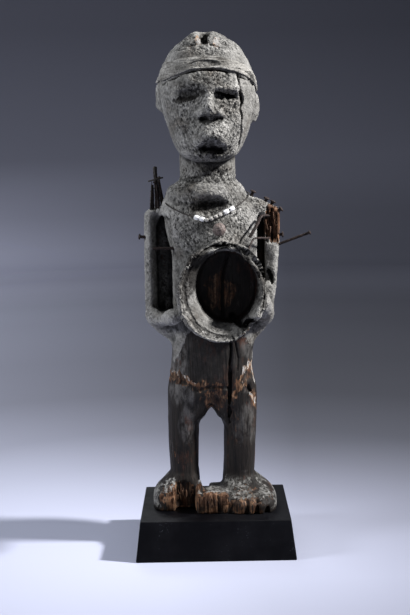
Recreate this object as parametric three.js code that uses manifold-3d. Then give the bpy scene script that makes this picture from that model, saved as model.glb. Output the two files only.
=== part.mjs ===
// A standing power figure carved from one block of wood, with an open bowl in its belly, on a black plinth.
// Iron nails and a bound bundle of iron splints are driven into its shoulders. It wears a hide band round
// the brow and a string of beads round the neck.
// Millimetres, +Z up, the figure faces -Y, and the origin is the middle of the plinth's underside.
import * as THREE from "three";
import { mergeVertices } from "three/addons/utils/BufferGeometryUtils.js";
import Module from "manifold-3d";

const wasm = await Module();
wasm.setup();

// Driving dimensions.
const PLINTH = { width: 160, depth: 140, topWidth: 150, topDepth: 130, height: 40, edge: 1.2 };
const GROUND = PLINTH.height;
const HEAD_X = -1;
const COLLAR = { x: -2, y: 0, z: 361, ring: 25.5, roll: 12.8 };
const BOWL = { x: 9.2, z: 265, rimY: -76, rootY: -18, floorY: -36, rim: 43.4, lip: 38.4, throat: 32, floor: 27, tall: 1.045 };
const BAND = { thick: 2.2, thinEdge: 1, gap: 0.45 };
const CROWN_HOLE = { x: -2.4, y: -9, halfX: 7, halfY: 15, bottom: 501.5 };
const NAIL = { shaft: 1.35, head: 3.1, headThick: 1.5, bore: 1.75, driven: 9 };
const CORD = { radius: 0.55, standOff: 1.2 };
const CELL = 2.8;
const FIGURE_TRIANGLES = 5400;

const { abs, max, min, hypot, sqrt, sin, cos, PI } = Math;

// Upright forms, as cross-sections from the bottom up: height, then the left, right, front and back edges.
const TORSO = [
  [138, -38, 35, -16, 26],
  [155, -43.5, 42, -23, 37],
  [178, -42.6, 39.8, -27, 41],
  [200, -41.6, 41, -29, 34],
  [235, -38.5, 43, -31, 31],
  [270, -36.6, 44.5, -33, 33],
  [305, -37.6, 46.5, -35, 36],
  [330, -41, 47, -36, 37],
  [347, -43, 46, -33, 34],
  [364, -33, 31, -25, 27],
];
const ARMS = [
  [209, -40, 41, -6, 12],
  [224, -58, 54.5, -11, 15],
  [238, -65.5, 60.6, -14, 17],
  [255, -67.4, 64, -14.5, 17.5],
  [280, -67.4, 67.2, -14.5, 17.5],
  [305, -67, 69.4, -14.5, 18],
  [330, -66.8, 70.6, -14.5, 18],
  [360, -66.4, 71.4, -14, 18],
];
const LEFT_LEG = [
  [44, -45, -16.6, -15, 23],
  [73, -45.2, -16.6, -15.5, 22],
  [90, -46.8, -16, -17, 23],
  [107, -47.4, -15.5, -18.5, 24.5],
  [124, -47.2, -14.8, -20, 27],
  [134, -46.9, -9.6, -21, 30],
  [143, -46.6, -2.6, -22, 33],
  [164, -44.2, 4, -23, 37],
  [182, -38, 4, -20, 35],
];
const RIGHT_LEG = [
  [44, 9.4, 41.4, -16, 23],
  [72, 9.4, 41.4, -16.5, 22],
  [90, 9.8, 42.6, -18, 23],
  [106, 10, 43.6, -19, 24.5],
  [124, 10, 44.4, -20, 27],
  [134, 4.6, 44.6, -21, 30],
  [143, -2.2, 44.4, -22, 33],
  [164, -6, 42.4, -23, 37],
  [182, -6, 36, -20, 35],
];
const NECK = [
  [345, -30, 26, -27, 29],
  [375, -29.4, 25.8, -27, 29],
  [395, -29.2, 25.8, -27, 30],
  [412, -29.5, 27, -26, 32],
];
const HEAD = [
  [394, -15, 15, -42, -6],
  [400, -27, 27.4, -48.5, 14],
  [410, -33.8, 33.6, -52, 30],
  [420, -37.4, 38.8, -53.5, 40],
  [432, -41.5, 42.6, -53.5, 46],
  [446, -45.4, 45.6, -52.5, 50],
  [458, -47.6, 47, -52.5, 52],
  [470, -48, 46.8, -51.5, 52],
  [481, -45.6, 45, -48.5, 50],
  [491, -42.8, 41, -44, 45.5],
  [500, -38.6, 36, -38, 40],
  [507.5, -31.6, 30, -30.5, 33],
  [514.5, -22.6, 20.2, -22, 23],
  [519.5, -15.2, 12, -13, 14],
  [522.6, -8, 5, -5, 6],
];
const LEFT_FOOT = [
  [36, -64.2, -16, -30, 31],
  [50, -64.2, -15.8, -30, 31],
  [58, -61.6, -15.8, -28, 29],
  [65, -55, -16, -22, 26],
  [74, -45.5, -16.4, -15.5, 22],
];
const RIGHT_FOOT = [
  [36, 8, 63.2, -46, 30],
  [49, 8, 63.6, -46, 30],
  [56, 8.5, 60.5, -40, 28],
  [62, 9, 54, -27, 25],
  [71, 9, 42.5, -16, 22],
];

// Fields: functions of a point that are negative inside the form and close to a distance near its surface.
const smoothMin = (a, b, k) => min(a, b) - max(k - abs(a - b), 0) ** 2 / (4 * k);
const smoothMax = (a, b, k) => -smoothMin(-a, -b, k);

/** Smooth values between the rows of a table whose first column is the height. */
function between(rows, z) {
  const last = rows.length - 1;
  const h = min(max(z, rows[0][0]), rows[last][0]);
  let i = 0;
  while (i < last - 1 && h > rows[i + 1][0]) i++;
  const [a, b] = [rows[i], rows[i + 1]];
  const [before, after] = [rows[max(i - 1, 0)], rows[min(i + 2, last)]];
  const span = b[0] - a[0];
  const t = (h - a[0]) / span;
  return a.map((_, c) => {
    const slopeA = ((b[c] - before[c]) / (b[0] - before[0])) * span;
    const slopeB = ((after[c] - a[c]) / (after[0] - a[0])) * span;
    const [t2, t3] = [t * t, t * t * t];
    return (2 * t3 - 3 * t2 + 1) * a[c] + (t3 - 2 * t2 + t) * slopeA + (3 * t2 - 2 * t3) * b[c] + (t3 - t2) * slopeB;
  });
}

/** An upright form through its cross-sections, which are superellipses of the given power. */
const column = (rows, power) => {
  let [level, row] = [NaN, null];
  return (x, y, z) => {
    if (z !== level) [level, row] = [z, between(rows, z)];
    const [, left, right, front, back] = row;
    const [halfX, halfY] = [(right - left) / 2, (back - front) / 2];
    const u = abs(x - (left + right) / 2) / halfX;
    const v = abs(y - (front + back) / 2) / halfY;
    const s = max((u ** power + v ** power) ** (1 / power), 0.05);
    const slope = hypot((u / s) ** (power - 1) / halfX, (v / s) ** (power - 1) / halfY);
    const side = (s - 1) / max(slope, 1e-4);
    return smoothMax(side, max(rows[0][0] - z, z - rows[rows.length - 1][0]), 3);
  };
};

const ellipsoid = (c, r) => (x, y, z) => {
  const [u, v, w] = [(x - c[0]) / r[0], (y - c[1]) / r[1], (z - c[2]) / r[2]];
  const s = max(hypot(u, v, w), 0.05);
  return ((s - 1) * s) / hypot(u / r[0], v / r[1], w / r[2]);
};

const box = (low, high, round) => (x, y, z) => {
  const d = [x, y, z].map((p, i) => abs(p - (low[i] + high[i]) / 2) - (high[i] - low[i]) / 2 + round);
  return hypot(...d.map((v) => max(v, 0))) + min(max(...d), 0) - round;
};

/** A round bar between two points, of one radius at each end. */
const bar = (a, b, radiusA, radiusB = radiusA) => (x, y, z) => {
  const [p, d] = [[x - a[0], y - a[1], z - a[2]], [b[0] - a[0], b[1] - a[1], b[2] - a[2]]];
  const t = min(max((p[0] * d[0] + p[1] * d[1] + p[2] * d[2]) / (d[0] ** 2 + d[1] ** 2 + d[2] ** 2), 0), 1);
  return hypot(p[0] - d[0] * t, p[1] - d[1] * t, p[2] - d[2] * t) - (radiusA + (radiusB - radiusA) * t);
};

const lerp = (a, b, t) => a + (b - a) * min(max(t, 0), 1);

// The head: the skull with its cap, the face under a crust of clay, the ears and the hole in the crown.
function headField() {
  const skull = column(HEAD, 2.25);
  const added = [
    [bar([HEAD_X - 30, -41, 456], [HEAD_X - 15, -49, 464.5], 4, 5), 6],
    [bar([HEAD_X - 15, -49, 464.5], [HEAD_X - 1, -52.5, 464], 5, 4.5), 6],
    [bar([HEAD_X + 30, -41.5, 461.5], [HEAD_X + 8, -51.5, 464.5], 4.8, 5.2), 6],
    [bar([HEAD_X + 1, -53, 460], [HEAD_X + 1.5, -58, 444], 4, 6.4), 5],
    [bar([HEAD_X - 5.5, -55, 440.5], [HEAD_X + 10, -55, 439.5], 5), 4],
    [ellipsoid([HEAD_X + 3, -50, 420], [19.5, 9.5, 13.5]), 8],
    [bar([HEAD_X - 8, -55.5, 423.4], [HEAD_X + 15, -55, 424], 5), 4],
    [bar([HEAD_X - 6, -55, 414.8], [HEAD_X + 12, -55, 415], 4.2), 3],
    [ellipsoid([HEAD_X + 2, -44, 401.5], [15, 8, 8]), 6],
  ];
  const ears = [
    [-48.6, 7, 457],
    [47.8, 7, 444.5],
  ].map((c) => [ellipsoid(c, [4.8, 9, 15]), ellipsoid([c[0] * 1.09, c[1] - 2.5, c[2] + 1], [3.2, 4.6, 9])]);
  const cuts = [
    [ellipsoid([HEAD_X - 18, -57, 457], [14, 8.5, 5.6]), 5],
    [ellipsoid([HEAD_X + 21, -56, 456.6], [12.5, 8, 4]), 3],
    [ellipsoid([HEAD_X - 18.5, -51.5, 454.4], [9.5, 5, 2.2]), 1.5],
    [ellipsoid([HEAD_X + 21, -50.5, 456], [12, 6, 2.8]), 1.5],
    [bar([HEAD_X - 13, -61.5, 419.6], [HEAD_X + 19, -61, 419.8], 1.6), 3],
    [ellipsoid([HEAD_X + 4, -57, 406.5], [13, 6.5, 4.6]), 4],
    [box([CROWN_HOLE.x - 4.2, -60, 506.4], [CROWN_HOLE.x + 4.2, 4, 540], 2), 2],
    [ellipsoid([-15, -39.5, 509.5], [11, 8, 6.5]), 2],
    [ellipsoid([10.5, -38, 510], [5, 8.5, 7]), 2],
    [ellipsoid([CROWN_HOLE.x, CROWN_HOLE.y, CROWN_HOLE.bottom + 19], [CROWN_HOLE.halfX, CROWN_HOLE.halfY, 19]), 2],
  ];
  return (x, y, z) => {
    let d = skull(x, y, z);
    for (const [form, k] of added) d = smoothMin(d, form(x, y, z), k);
    for (const [ear, dimple] of ears) d = smoothMin(d, smoothMax(ear(x, y, z), -dimple(x, y, z), 1.5), 3);
    for (const [cut, k] of cuts) d = smoothMax(d, -cut(x, y, z), k);
    return d;
  };
}

// The body: torso, arms cut free of it by deep grooves that stop at a web behind, and the hands on the bowl.
function bodyField() {
  const torso = column(TORSO, 2.5);
  const slab = column(ARMS, 4.5);
  const forearms = [
    bar([-57, -3, 238], [-38, -46, 242], 10, 8),
    bar([53, -3, 238], [48.5, -46, 257], 10.5, 9),
  ];
  const chest = ellipsoid([3, -20, 325], [42, 17, 30]);
  const slope = bar([5, -22, 334], [BOWL.x, -44, 306], 15, 17);
  const grooves = [
    box([-54.8, -40, 243], [-38.6, 6, 341], 4),
    box([46.5, -40, 268], [54.5, 6, 340], 3.5),
    ellipsoid([58.6, -16, 276.5], [4.6, 12, 6.8]),
    ellipsoid([62, -23, 322], [9.5, 13, 25]),
  ];
  const spine = bar([2, 42, 200], [1, 42, 345], 4.5);
  const blades = [ellipsoid([-25, 22, 318], [19, 12.5, 28]), ellipsoid([29, 22, 318], [19, 12.5, 28])];
  return (x, y, z) => {
    const fall = (z - 361 + 0.5 * (abs(x - 2) - 36)) / hypot(1, 0.5);
    const roof = max(fall, min(z - 351.5 - 0.12 * (x + 44), z - 351.5 - 1.4 * (x + 44)));
    let d = smoothMin(torso(x, y, z), smoothMax(slab(x, y, z), roof, 7), 7);
    d = smoothMin(d, chest(x, y, z), 10);
    d = smoothMin(d, slope(x, y, z), 12);
    for (const blade of blades) d = smoothMin(d, blade(x, y, z), 8);
    for (const forearm of forearms) d = smoothMin(d, forearm(x, y, z), 5);
    for (const groove of grooves) d = smoothMax(d, -groove(x, y, z), 2.5);
    return smoothMax(d, -spine(x, y, z), 6);
  };
}

// The bowl: a short barrel that stands out of the belly, peaked above and broken below on the right.
const bowlRadius = (x, z) => hypot(x - BOWL.x, (z - BOWL.z) / BOWL.tall);
const bowlAngle = (x, z) => (Math.atan2(z - BOWL.z, x - BOWL.x) * 180) / PI;

function bowlWall(x, y, z) {
  const r = bowlRadius(x, z);
  const outer = lerp(BOWL.rim - 2, BOWL.rim, (BOWL.rootY - y) / (BOWL.rootY - BOWL.rimY - 12));
  const barrel = smoothMax(r - outer, max(BOWL.rimY - y, y - BOWL.rootY), 4);
  const ridge = bar([-20, -66, 300], [BOWL.x - 2, -61, 312], 4, 4.6)(x, y, z);
  const farRidge = bar([BOWL.x - 2, -61, 312], [27, -62, 309], 4.6, 3.6)(x, y, z);
  const sideRidge = bar([27, -62, 309], [49, -66, 285], 3.6, 3.2)(x, y, z);
  return smoothMin(smoothMin(smoothMin(barrel, ridge, 4), farRidge, 3), sideRidge, 3);
}

function bowlHollow(x, y, z) {
  const r = bowlRadius(x, z);
  const flare = lerp(BOWL.throat, BOWL.lip, (BOWL.rimY + 13 - y) / 13);
  const depth = lerp(BOWL.floor, flare, (BOWL.floorY - y) / (BOWL.floorY - BOWL.rimY - 13));
  const cup = smoothMax(r - (y > BOWL.rimY + 13 ? depth : flare), y - BOWL.floorY, 8);
  const angle = bowlAngle(x, z);
  const track = lerp(41.5, 45.5, (angle - 25) / 60);
  const crevice = max(abs(r - track) - 2.3, abs(angle - 57) * 0.75 - 26, y + 62);
  const bite = ellipsoid([BOWL.x + 25.5, BOWL.rimY + 2, BOWL.z - 30], [13.5, 21, 9.5])(x, y, z);
  const tip = ellipsoid([BOWL.x + 19, BOWL.rimY + 2, BOWL.z - 36], [4.5, 14, 7])(x, y, z);
  return smoothMin(smoothMin(cup, crevice, 1.5), smoothMin(bite, tip, 2), 2);
}

// The legs and the eroded feet: toes lost, the left foot split away inside, a stump of block between them.
function legField() {
  const legs = [column(LEFT_LEG, 2.6), column(RIGHT_LEG, 2.6)];
  const feet = [column(LEFT_FOOT, 3), column(RIGHT_FOOT, 3)];
  const stump = box([-18.8, -41, 36], [14, 4, 61.5], 2.5);
  const spike = bar([-13.5, -31, 46], [-16, -29, 72], 6.5, 2.4);
  const lost = box([-40.3, -60, 30], [-10, -17, 90], 2);
  const behind = box([-30, -16, 30], [-6, 20, 90], 3);
  const toeGaps = [19.8, 31.5, 41.5, 51].map((x, i) => bar([x, -47 + i * i * 0.6, 34], [x + 0.6, -43 + i * i * 0.6, 55], 3.1, 2));
  const pit = ellipsoid([38.5, -21, 160.5], [3.6, 9, 6.4]);
  return (x, y, z) => {
    let d = smoothMin(legs[0](x, y, z), legs[1](x, y, z), 3);
    d = smoothMin(d, smoothMax(feet[0](x, y, z), -lost(x, y, z), 2), 5);
    let right = smoothMin(feet[1](x, y, z), smoothMax(stump(x, y, z), -behind(x, y, z), 2), 3);
    right = smoothMin(right, spike(x, y, z), 3);
    for (const gap of toeGaps) right = smoothMax(right, -gap(x, y, z), 2);
    d = smoothMin(d, right, 4);
    return smoothMax(d, -pit(x, y, z), 2);
  };
}

function figureField() {
  const [head, body, legs] = [headField(), bodyField(), legField()];
  const neck = column(NECK, 2);
  return (x, y, z) => {
    const around = hypot(hypot(x - COLLAR.x, y - COLLAR.y) - COLLAR.ring, z - COLLAR.z) - COLLAR.roll;
    let d = smoothMin(body(x, y, z), legs(x, y, z), 11);
    d = smoothMin(d, neck(x, y, z), 3);
    d = smoothMin(d, around, 3);
    d = smoothMin(d, head(x, y, z), 3);
    d = smoothMin(d, bowlWall(x, y, z), 8);
    return smoothMax(d, -bowlHollow(x, y, z), 2);
  };
}

const figure = figureField();

function slopeOf(field, [x, y, z]) {
  const e = 0.05;
  return [
    (field(x + e, y, z) - field(x - e, y, z)) / (2 * e),
    (field(x, y + e, z) - field(x, y - e, z)) / (2 * e),
    (field(x, y, z + e) - field(x, y, z - e)) / (2 * e),
  ];
}

/** The point near p where the field has the given value. */
function pullOnto(field, p, value = 0, steps = 4, most = 1.5) {
  let at = p;
  for (let i = 0; i < steps; i++) {
    const g = slopeOf(field, at);
    const d = (field(...at) - value) / max(g[0] ** 2 + g[1] ** 2 + g[2] ** 2, 0.05);
    const t = min(1, most / max(abs(d) * hypot(...g), 1e-9));
    at = at.map((v, c) => v - d * t * g[c]);
  }
  return at;
}

/** The field's surface as a closed mesh: one vertex in each crossed cell, a quad round each crossed edge. */
function surfaceOf(field, low, high, cell) {
  const n = low.map((v, c) => Math.ceil((high[c] - v) / cell) + 1);
  const at = (i, j, k) => i + n[0] * (j + n[1] * k);
  const place = (i, j, k) => [low[0] + i * cell, low[1] + j * cell, low[2] + k * cell];
  const values = new Float32Array(n[0] * n[1] * n[2]);
  const cells = [];
  const each = (less, work) => {
    for (let k = 0; k < n[2] - less; k++)
      for (let j = 0; j < n[1] - less; j++) for (let i = 0; i < n[0] - less; i++) work(i, j, k);
  };
  each(0, (i, j, k) => (values[at(i, j, k)] = field(...place(i, j, k))));
  const sides = [[[1, 0, 0], [0, 1, 0]], [[0, 1, 0], [0, 0, 1]], [[0, 0, 1], [1, 0, 0]]];
  for (let pass = 0; pass < 4; pass++)
    each(1, (i, j, k) => {
      for (const [p, q] of sides) {
        const ring = [[0, 0], [1, 0], [1, 1], [0, 1]].map(([a, b]) => at(i + a * p[0] + b * q[0], j + a * p[1] + b * q[1], k + a * p[2] + b * q[2]));
        const inside = ring.map((id) => values[id] < 0);
        if (inside[0] !== inside[2] || inside[1] !== inside[3] || inside[0] === inside[1]) continue;
        const open = ring.filter((_, n) => !inside[n]);
        values[values[open[0]] < values[open[1]] ? open[0] : open[1]] = -0.01;
      }
    });
  const corners = [0, 1, 2, 3, 4, 5, 6, 7].map((c) => [c & 1, (c >> 1) & 1, c >> 2]);
  const edges = corners.flatMap((a, i) => [1, 2, 4].filter((bit) => !(i & bit)).map((bit) => [i, i | bit]));
  const vertexOf = new Int32Array(values.length).fill(-1);
  each(1, (i, j, k) => {
    const v = corners.map((c) => values[at(i + c[0], j + c[1], k + c[2])]);
    const crossed = edges.filter(([a, b]) => v[a] < 0 !== v[b] < 0);
    if (!crossed.length) return;
    const sum = [0, 0, 0];
    for (const [a, b] of crossed) {
      const t = v[a] / (v[a] - v[b]);
      for (let c = 0; c < 3; c++) sum[c] += (corners[a][c] + (corners[b][c] - corners[a][c]) * t) / crossed.length;
    }
    vertexOf[at(i, j, k)] = cells.length;
    cells.push(pullOnto(field, place(i + sum[0], j + sum[1], k + sum[2]), 0, 3, cell / 3));
  });
  const faces = [];
  const apart = (a, b) => hypot(...a.map((v, c) => v - b[c]));
  each(1, (i, j, k) => {
    for (let axis = 0; axis < 3; axis++) {
      const step = [0, 1, 2].map((c) => (c === axis ? 1 : 0));
      const [from, to] = [values[at(i, j, k)], values[at(i + step[0], j + step[1], k + step[2])]];
      if (from < 0 === to < 0) continue;
      const [p, q] = [(axis + 1) % 3, (axis + 2) % 3];
      const back = (a, b) => {
        const c = [i, j, k];
        c[p] -= a;
        c[q] -= b;
        return vertexOf[at(...c)];
      };
      const quad = [back(0, 0), back(1, 0), back(1, 1), back(0, 1)];
      if (from >= 0) quad.reverse();
      const [a, b, c, d] = quad;
      if (apart(cells[a], cells[c]) < apart(cells[b], cells[d])) faces.push([a, b, c], [a, c, d]);
      else faces.push([a, b, d], [b, c, d]);
    }
  });
  return { points: cells, faces };
}

/** The largest part of a mesh whose faces join edge to edge, without the specks that thin cuts leave. */
function largestPart({ points, faces }) {
  const root = faces.map((_, i) => i);
  const find = (i) => {
    while (root[i] !== i) i = root[i] = root[root[i]];
    return i;
  };
  const beside = new Map();
  faces.forEach((f, i) =>
    f.forEach((a, k) => {
      const key = min(a, f[(k + 1) % 3]) * points.length + max(a, f[(k + 1) % 3]);
      beside.set(key, [...(beside.get(key) ?? []), i]);
    }),
  );
  for (const [a, ...others] of beside.values()) if (others.length === 1) root[find(a)] = find(others[0]);
  const counts = new Map();
  faces.forEach((_, i) => counts.set(find(i), (counts.get(find(i)) ?? 0) + 1));
  const biggest = [...counts].reduce((best, entry) => (entry[1] > best[1] ? entry : best))[0];
  return { points, faces: faces.filter((_, i) => find(i) === biggest) };
}

/** Joins the ends of the edges that matter least to the shape, until the mesh has few enough faces. */
function thinned(mesh, most, weightAt) {
  const points = mesh.points.map((p) => [...p]);
  const faces = mesh.faces.map((f) => [...f]);
  const around = points.map(() => new Set());
  const quadrics = points.map(() => new Float64Array(10));
  const age = new Int32Array(points.length);
  const minus = (a, b) => [a[0] - b[0], a[1] - b[1], a[2] - b[2]];
  const cross = (a, b) => [a[1] * b[2] - a[2] * b[1], a[2] * b[0] - a[0] * b[2], a[0] * b[1] - a[1] * b[0]];
  const dot = (a, b) => a[0] * b[0] + a[1] * b[1] + a[2] * b[2];
  const normalOf = (a, b, c) => cross(minus(b, a), minus(c, a));
  faces.forEach((f, id) => {
    const [a, b, c] = f.map((v) => points[v]);
    const n = normalOf(a, b, c);
    const area = hypot(...n);
    f.forEach((v) => around[v].add(id));
    if (area < 1e-9) return;
    const u = n.map((v) => v / area);
    const d = -dot(u, a);
    const weight = area * weightAt(a);
    const terms = [u[0] * u[0], u[0] * u[1], u[0] * u[2], u[0] * d, u[1] * u[1], u[1] * u[2], u[1] * d, u[2] * u[2], u[2] * d, d * d];
    for (const v of f) for (let i = 0; i < 10; i++) quadrics[v][i] += terms[i] * weight;
  });
  const costOf = (q, [x, y, z]) =>
    q[0] * x * x + 2 * q[1] * x * y + 2 * q[2] * x * z + 2 * q[3] * x + q[4] * y * y +
    2 * q[5] * y * z + 2 * q[6] * y + q[7] * z * z + 2 * q[8] * z + q[9];
  const bestPoint = (q, a, b) => {
    const rows = new THREE.Matrix3().set(q[0], q[1], q[2], q[1], q[4], q[5], q[2], q[5], q[7]);
    const middle = a.map((v, c) => (v + b[c]) / 2);
    const size = max(q[0], q[4], q[7]) ** 3;
    if (abs(rows.determinant()) < 1e-3 * size) return middle;
    const p = new THREE.Vector3(-q[3], -q[6], -q[8]).applyMatrix3(rows.invert()).toArray();
    return hypot(...minus(p, middle)) < hypot(...minus(a, b)) ? p : middle;
  };
  const heap = [];
  const push = (item) => {
    let i = heap.push(item) - 1;
    while (i && heap[(i - 1) >> 1].cost > item.cost) {
      heap[i] = heap[(i - 1) >> 1];
      i = (i - 1) >> 1;
    }
    heap[i] = item;
  };
  const pop = () => {
    const [top, last] = [heap[0], heap.pop()];
    if (!heap.length) return top;
    let i = 0;
    for (;;) {
      let next = 2 * i + 1;
      if (next >= heap.length) break;
      if (next + 1 < heap.length && heap[next + 1].cost < heap[next].cost) next++;
      if (heap[next].cost >= last.cost) break;
      heap[i] = heap[next];
      i = next;
    }
    heap[i] = last;
    return top;
  };
  const offer = (a, b) => {
    const q = quadrics[a].map((v, i) => v + quadrics[b][i]);
    const p = bestPoint(q, points[a], points[b]);
    const length = hypot(...minus(points[a], points[b]));
    push({ cost: costOf(q, p) + 1e-4 * length ** 2, a, b, p, ageA: age[a], ageB: age[b] });
  };
  const neighbours = (v) => new Set([...around[v]].flatMap((id) => faces[id]).filter((w) => w !== v));
  const keepsItsSide = (v, other, p) =>
    [...around[v]].every((id) => {
      if (faces[id].includes(other)) return true;
      const before = normalOf(...faces[id].map((w) => points[w]));
      const after = normalOf(...faces[id].map((w) => (w === v ? p : points[w])));
      return dot(before, after) > 0.25 * hypot(...before) * hypot(...after) && hypot(...after) > 0.05;
    });
  points.forEach((_, a) => neighbours(a).forEach((b) => b > a && offer(a, b)));
  let left = faces.length;
  while (left > most && heap.length) {
    const { a, b, p, ageA, ageB } = pop();
    if (age[a] !== ageA || age[b] !== ageB || !around[a].size || !around[b].size) continue;
    const [nearA, nearB] = [neighbours(a), neighbours(b)];
    if ([...nearA].filter((v) => nearB.has(v)).length !== 2) continue;
    if (!keepsItsSide(a, b, p) || !keepsItsSide(b, a, p)) continue;
    for (const id of [...around[b]]) {
      if (faces[id].includes(a)) {
        faces[id].forEach((v) => around[v].delete(id));
        faces[id] = null;
        left--;
      } else {
        faces[id] = faces[id].map((v) => (v === b ? a : v));
        around[a].add(id);
      }
    }
    around[b].clear();
    points[a] = p;
    quadrics[a] = quadrics[a].map((v, i) => v + quadrics[b][i]);
    age[a]++;
    age[b]++;
    neighbours(a).forEach((v) => offer(a, v));
  }
  return { points, faces: faces.filter(Boolean) };
}

// Between three.js geometry and solids that can be joined and cut.
function solidFromMesh({ points, faces }) {
  const geometry = new THREE.BufferGeometry();
  geometry.setAttribute("position", new THREE.Float32BufferAttribute(points.flat(), 3));
  geometry.setIndex(faces.flat());
  return solidOf(geometry);
}

function solidOf(geometry) {
  const bare = geometry.clone();
  for (const name of Object.keys(bare.attributes)) if (name !== "position") bare.deleteAttribute(name);
  const merged = mergeVertices(bare, 1e-4);
  return new wasm.Manifold(
    new wasm.Mesh({ numProp: 3, vertProperties: merged.attributes.position.array, triVerts: new Uint32Array(merged.index.array) }),
  );
}

function geometryOf(solid) {
  const made = solid.getMesh();
  const geometry = new THREE.BufferGeometry();
  geometry.setAttribute("position", new THREE.BufferAttribute(new Float32Array(made.vertProperties), 3));
  geometry.setIndex(new THREE.BufferAttribute(new Uint32Array(made.triVerts), 1));
  geometry.computeVertexNormals();
  return geometry;
}

/** Turns a geometry made along +Y so that it runs from a point in a direction. */
function aimed(geometry, from, direction) {
  const turn = new THREE.Quaternion().setFromUnitVectors(
    new THREE.Vector3(0, 1, 0),
    new THREE.Vector3(...direction).normalize(),
  );
  return geometry.clone().applyQuaternion(turn).translate(...from);
}

const lathe = (outline, sides) => new THREE.LatheGeometry(outline.map((p) => new THREE.Vector2(...p)), sides);

// Nails: the point where each leaves the wood, the way out, and how far it stands out.
const NAILS = [
  { name: "nail_left_arm", near: [-68, -4, 318.6], out: [-1, -0.12, 0.12], stands: 5.8 },
  { name: "nail_across_groove", near: [-37.5, -16.5, 307.6], out: [-1, -0.13, 0.01], stands: 20.5, headless: true },
  { name: "nail_shoulder_1", near: [42.5, -6, 360], out: [0.45, -0.1, 1], stands: 6.2 },
  { name: "nail_shoulder_2", near: [56, -5, 352], out: [0.35, -0.25, 1], stands: 4.8 },
  { name: "nail_shoulder_3", near: [62, -3, 348.5], out: [0.5, 0.1, 1], stands: 4.4 },
  { name: "nail_shoulder_4", near: [68.5, -5, 342.5], out: [0.85, -0.1, 0.6], stands: 4 },
  { name: "nail_shoulder_side", near: [70, -3, 318.6], out: [1, -0.12, 0.08], stands: 4 },
  { name: "nail_long", near: [69.5, -6, 309.2], out: [1, -0.14, 0.37], stands: 34, thick: 0.85 },
].map((nail) => ({ ...nail, at: pullOnto(figure, nail.near, 0, 8, 3) }));

const unit = (v) => v.map((c) => c / hypot(...v));
const along = (from, direction, distance) => from.map((c, i) => c + unit(direction)[i] * distance);

function nailGeometry({ stands, headless, thick = 1 }) {
  const shaft = NAIL.shaft * thick;
  const top = NAIL.driven + stands;
  const head = NAIL.head * (thick < 1 ? 0.75 : 1);
  const outline = headless
    ? [[0, 0], [shaft * 0.4, 0.4], [shaft, 3], [shaft, top], [0, top]]
    : [[0, 0], [shaft * 0.4, 0.4], [shaft, 3], [shaft, top - NAIL.headThick], [head, top - NAIL.headThick * 0.8],
       [head * 0.85, top - 0.3], [0, top]];
  return lathe(outline, 7);
}

/** The drill that opens the wood for a nail, a splint or a wire. */
const boreGeometry = (radius, depth) => new THREE.CylinderGeometry(radius, radius, depth + 8, 6).translate(0, (8 - depth) / 2, 0);

// Two irons bent over: a flat blade and a thinner wire, both from the broken right shoulder.
const BLADE_PATH = [[59.5, -2.5, 337.5], [57.4, -14, 338.5], [55, -20, 339], [50.5, -27, 338.5], [47.6, -32.5, 334], [43, -39.5, 326], [38.4, -42.6, 319]];
const WIRE_PATH = [[60, -3, 316.2], [57.8, -15, 316], [54, -23, 316.6], [47.5, -31, 317.4], [42.5, -36.5, 317], [39.6, -41, 312.5], [36.6, -46.5, 306]];

function barAlong(path, radius, sides, steps, wide = 1) {
  const outline = [...Array(sides).keys()].map((i) => {
    const a = (2 * PI * i) / sides;
    return new THREE.Vector2(radius * cos(a), radius * wide * sin(a));
  });
  const curve = new THREE.CatmullRomCurve3(path.map((p) => new THREE.Vector3(...p)), false, "centripetal");
  return new THREE.ExtrudeGeometry(new THREE.Shape(outline), { steps, extrudePath: curve, bevelEnabled: false });
}

// The bundle driven into the left shoulder: splints round a taller rod, tied near the top.
const BUNDLE = { foot: [-53.2, -3, 350.4], tilt: [-0.035, 0.02, 1], rod: 2.1, rodStands: 39, tieAt: 26, ring: 4.1, driven: 8 };
const SPLINTS = [...Array(6).keys()].map((i) => {
  const angle = (2 * PI * i) / 6 + 0.3;
  return { angle, stands: 23.5 + 3.2 * sin(2.3 * i + 1), spread: 1.55 + 0.25 * cos(1.7 * i), thick: 1.35 + 0.2 * sin(i) };
});

function bundleSplint({ angle, stands, spread, thick }) {
  const out = [cos(angle), sin(angle), 0];
  const foot = BUNDLE.foot.map((c, i) => c + out[i] * BUNDLE.ring * spread);
  const top = along(BUNDLE.foot, BUNDLE.tilt, stands).map((c, i) => c + out[i] * (BUNDLE.rod + thick + 0.4));
  return { foot, lean: top.map((c, i) => c - foot[i]), length: hypot(...top.map((c, i) => c - foot[i])), thick };
}

function splintGeometry({ length, thick }) {
  const reach = length + BUNDLE.driven;
  return lathe([[0, 0], [thick * 0.75, 0.3], [thick, 5], [thick * 0.95, reach * 0.6], [thick * 0.6, reach - 0.6], [0, reach]], 6);
}

// The string of beads: a closed cord that follows the foot of the collar and hangs lower in front.
const STRAND = { halfX: 40.5, front: 45, back: 42, low: 336.4, rise: 28 };
const BEADS = [
  { name: "bead_white_left_1", turn: -17, length: 5.0, radius: 2.7 },
  { name: "bead_white_left_2", turn: -9, length: 5.0, radius: 2.6 },
  { name: "bead_small_1", turn: -1.6, length: 3.6, radius: 2.1 },
  { name: "bead_small_2", turn: 4.6, length: 3.7, radius: 2.3 },
  { name: "bead_small_3", turn: 10.8, length: 3.6, radius: 2.1 },
  { name: "bead_small_4", turn: 17, length: 3.7, radius: 2.2 },
  { name: "bead_white_right_1", turn: 26, length: 5.2, radius: 2.8 },
  { name: "bead_white_right_2", turn: 35, length: 5.2, radius: 2.6 },
];

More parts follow.
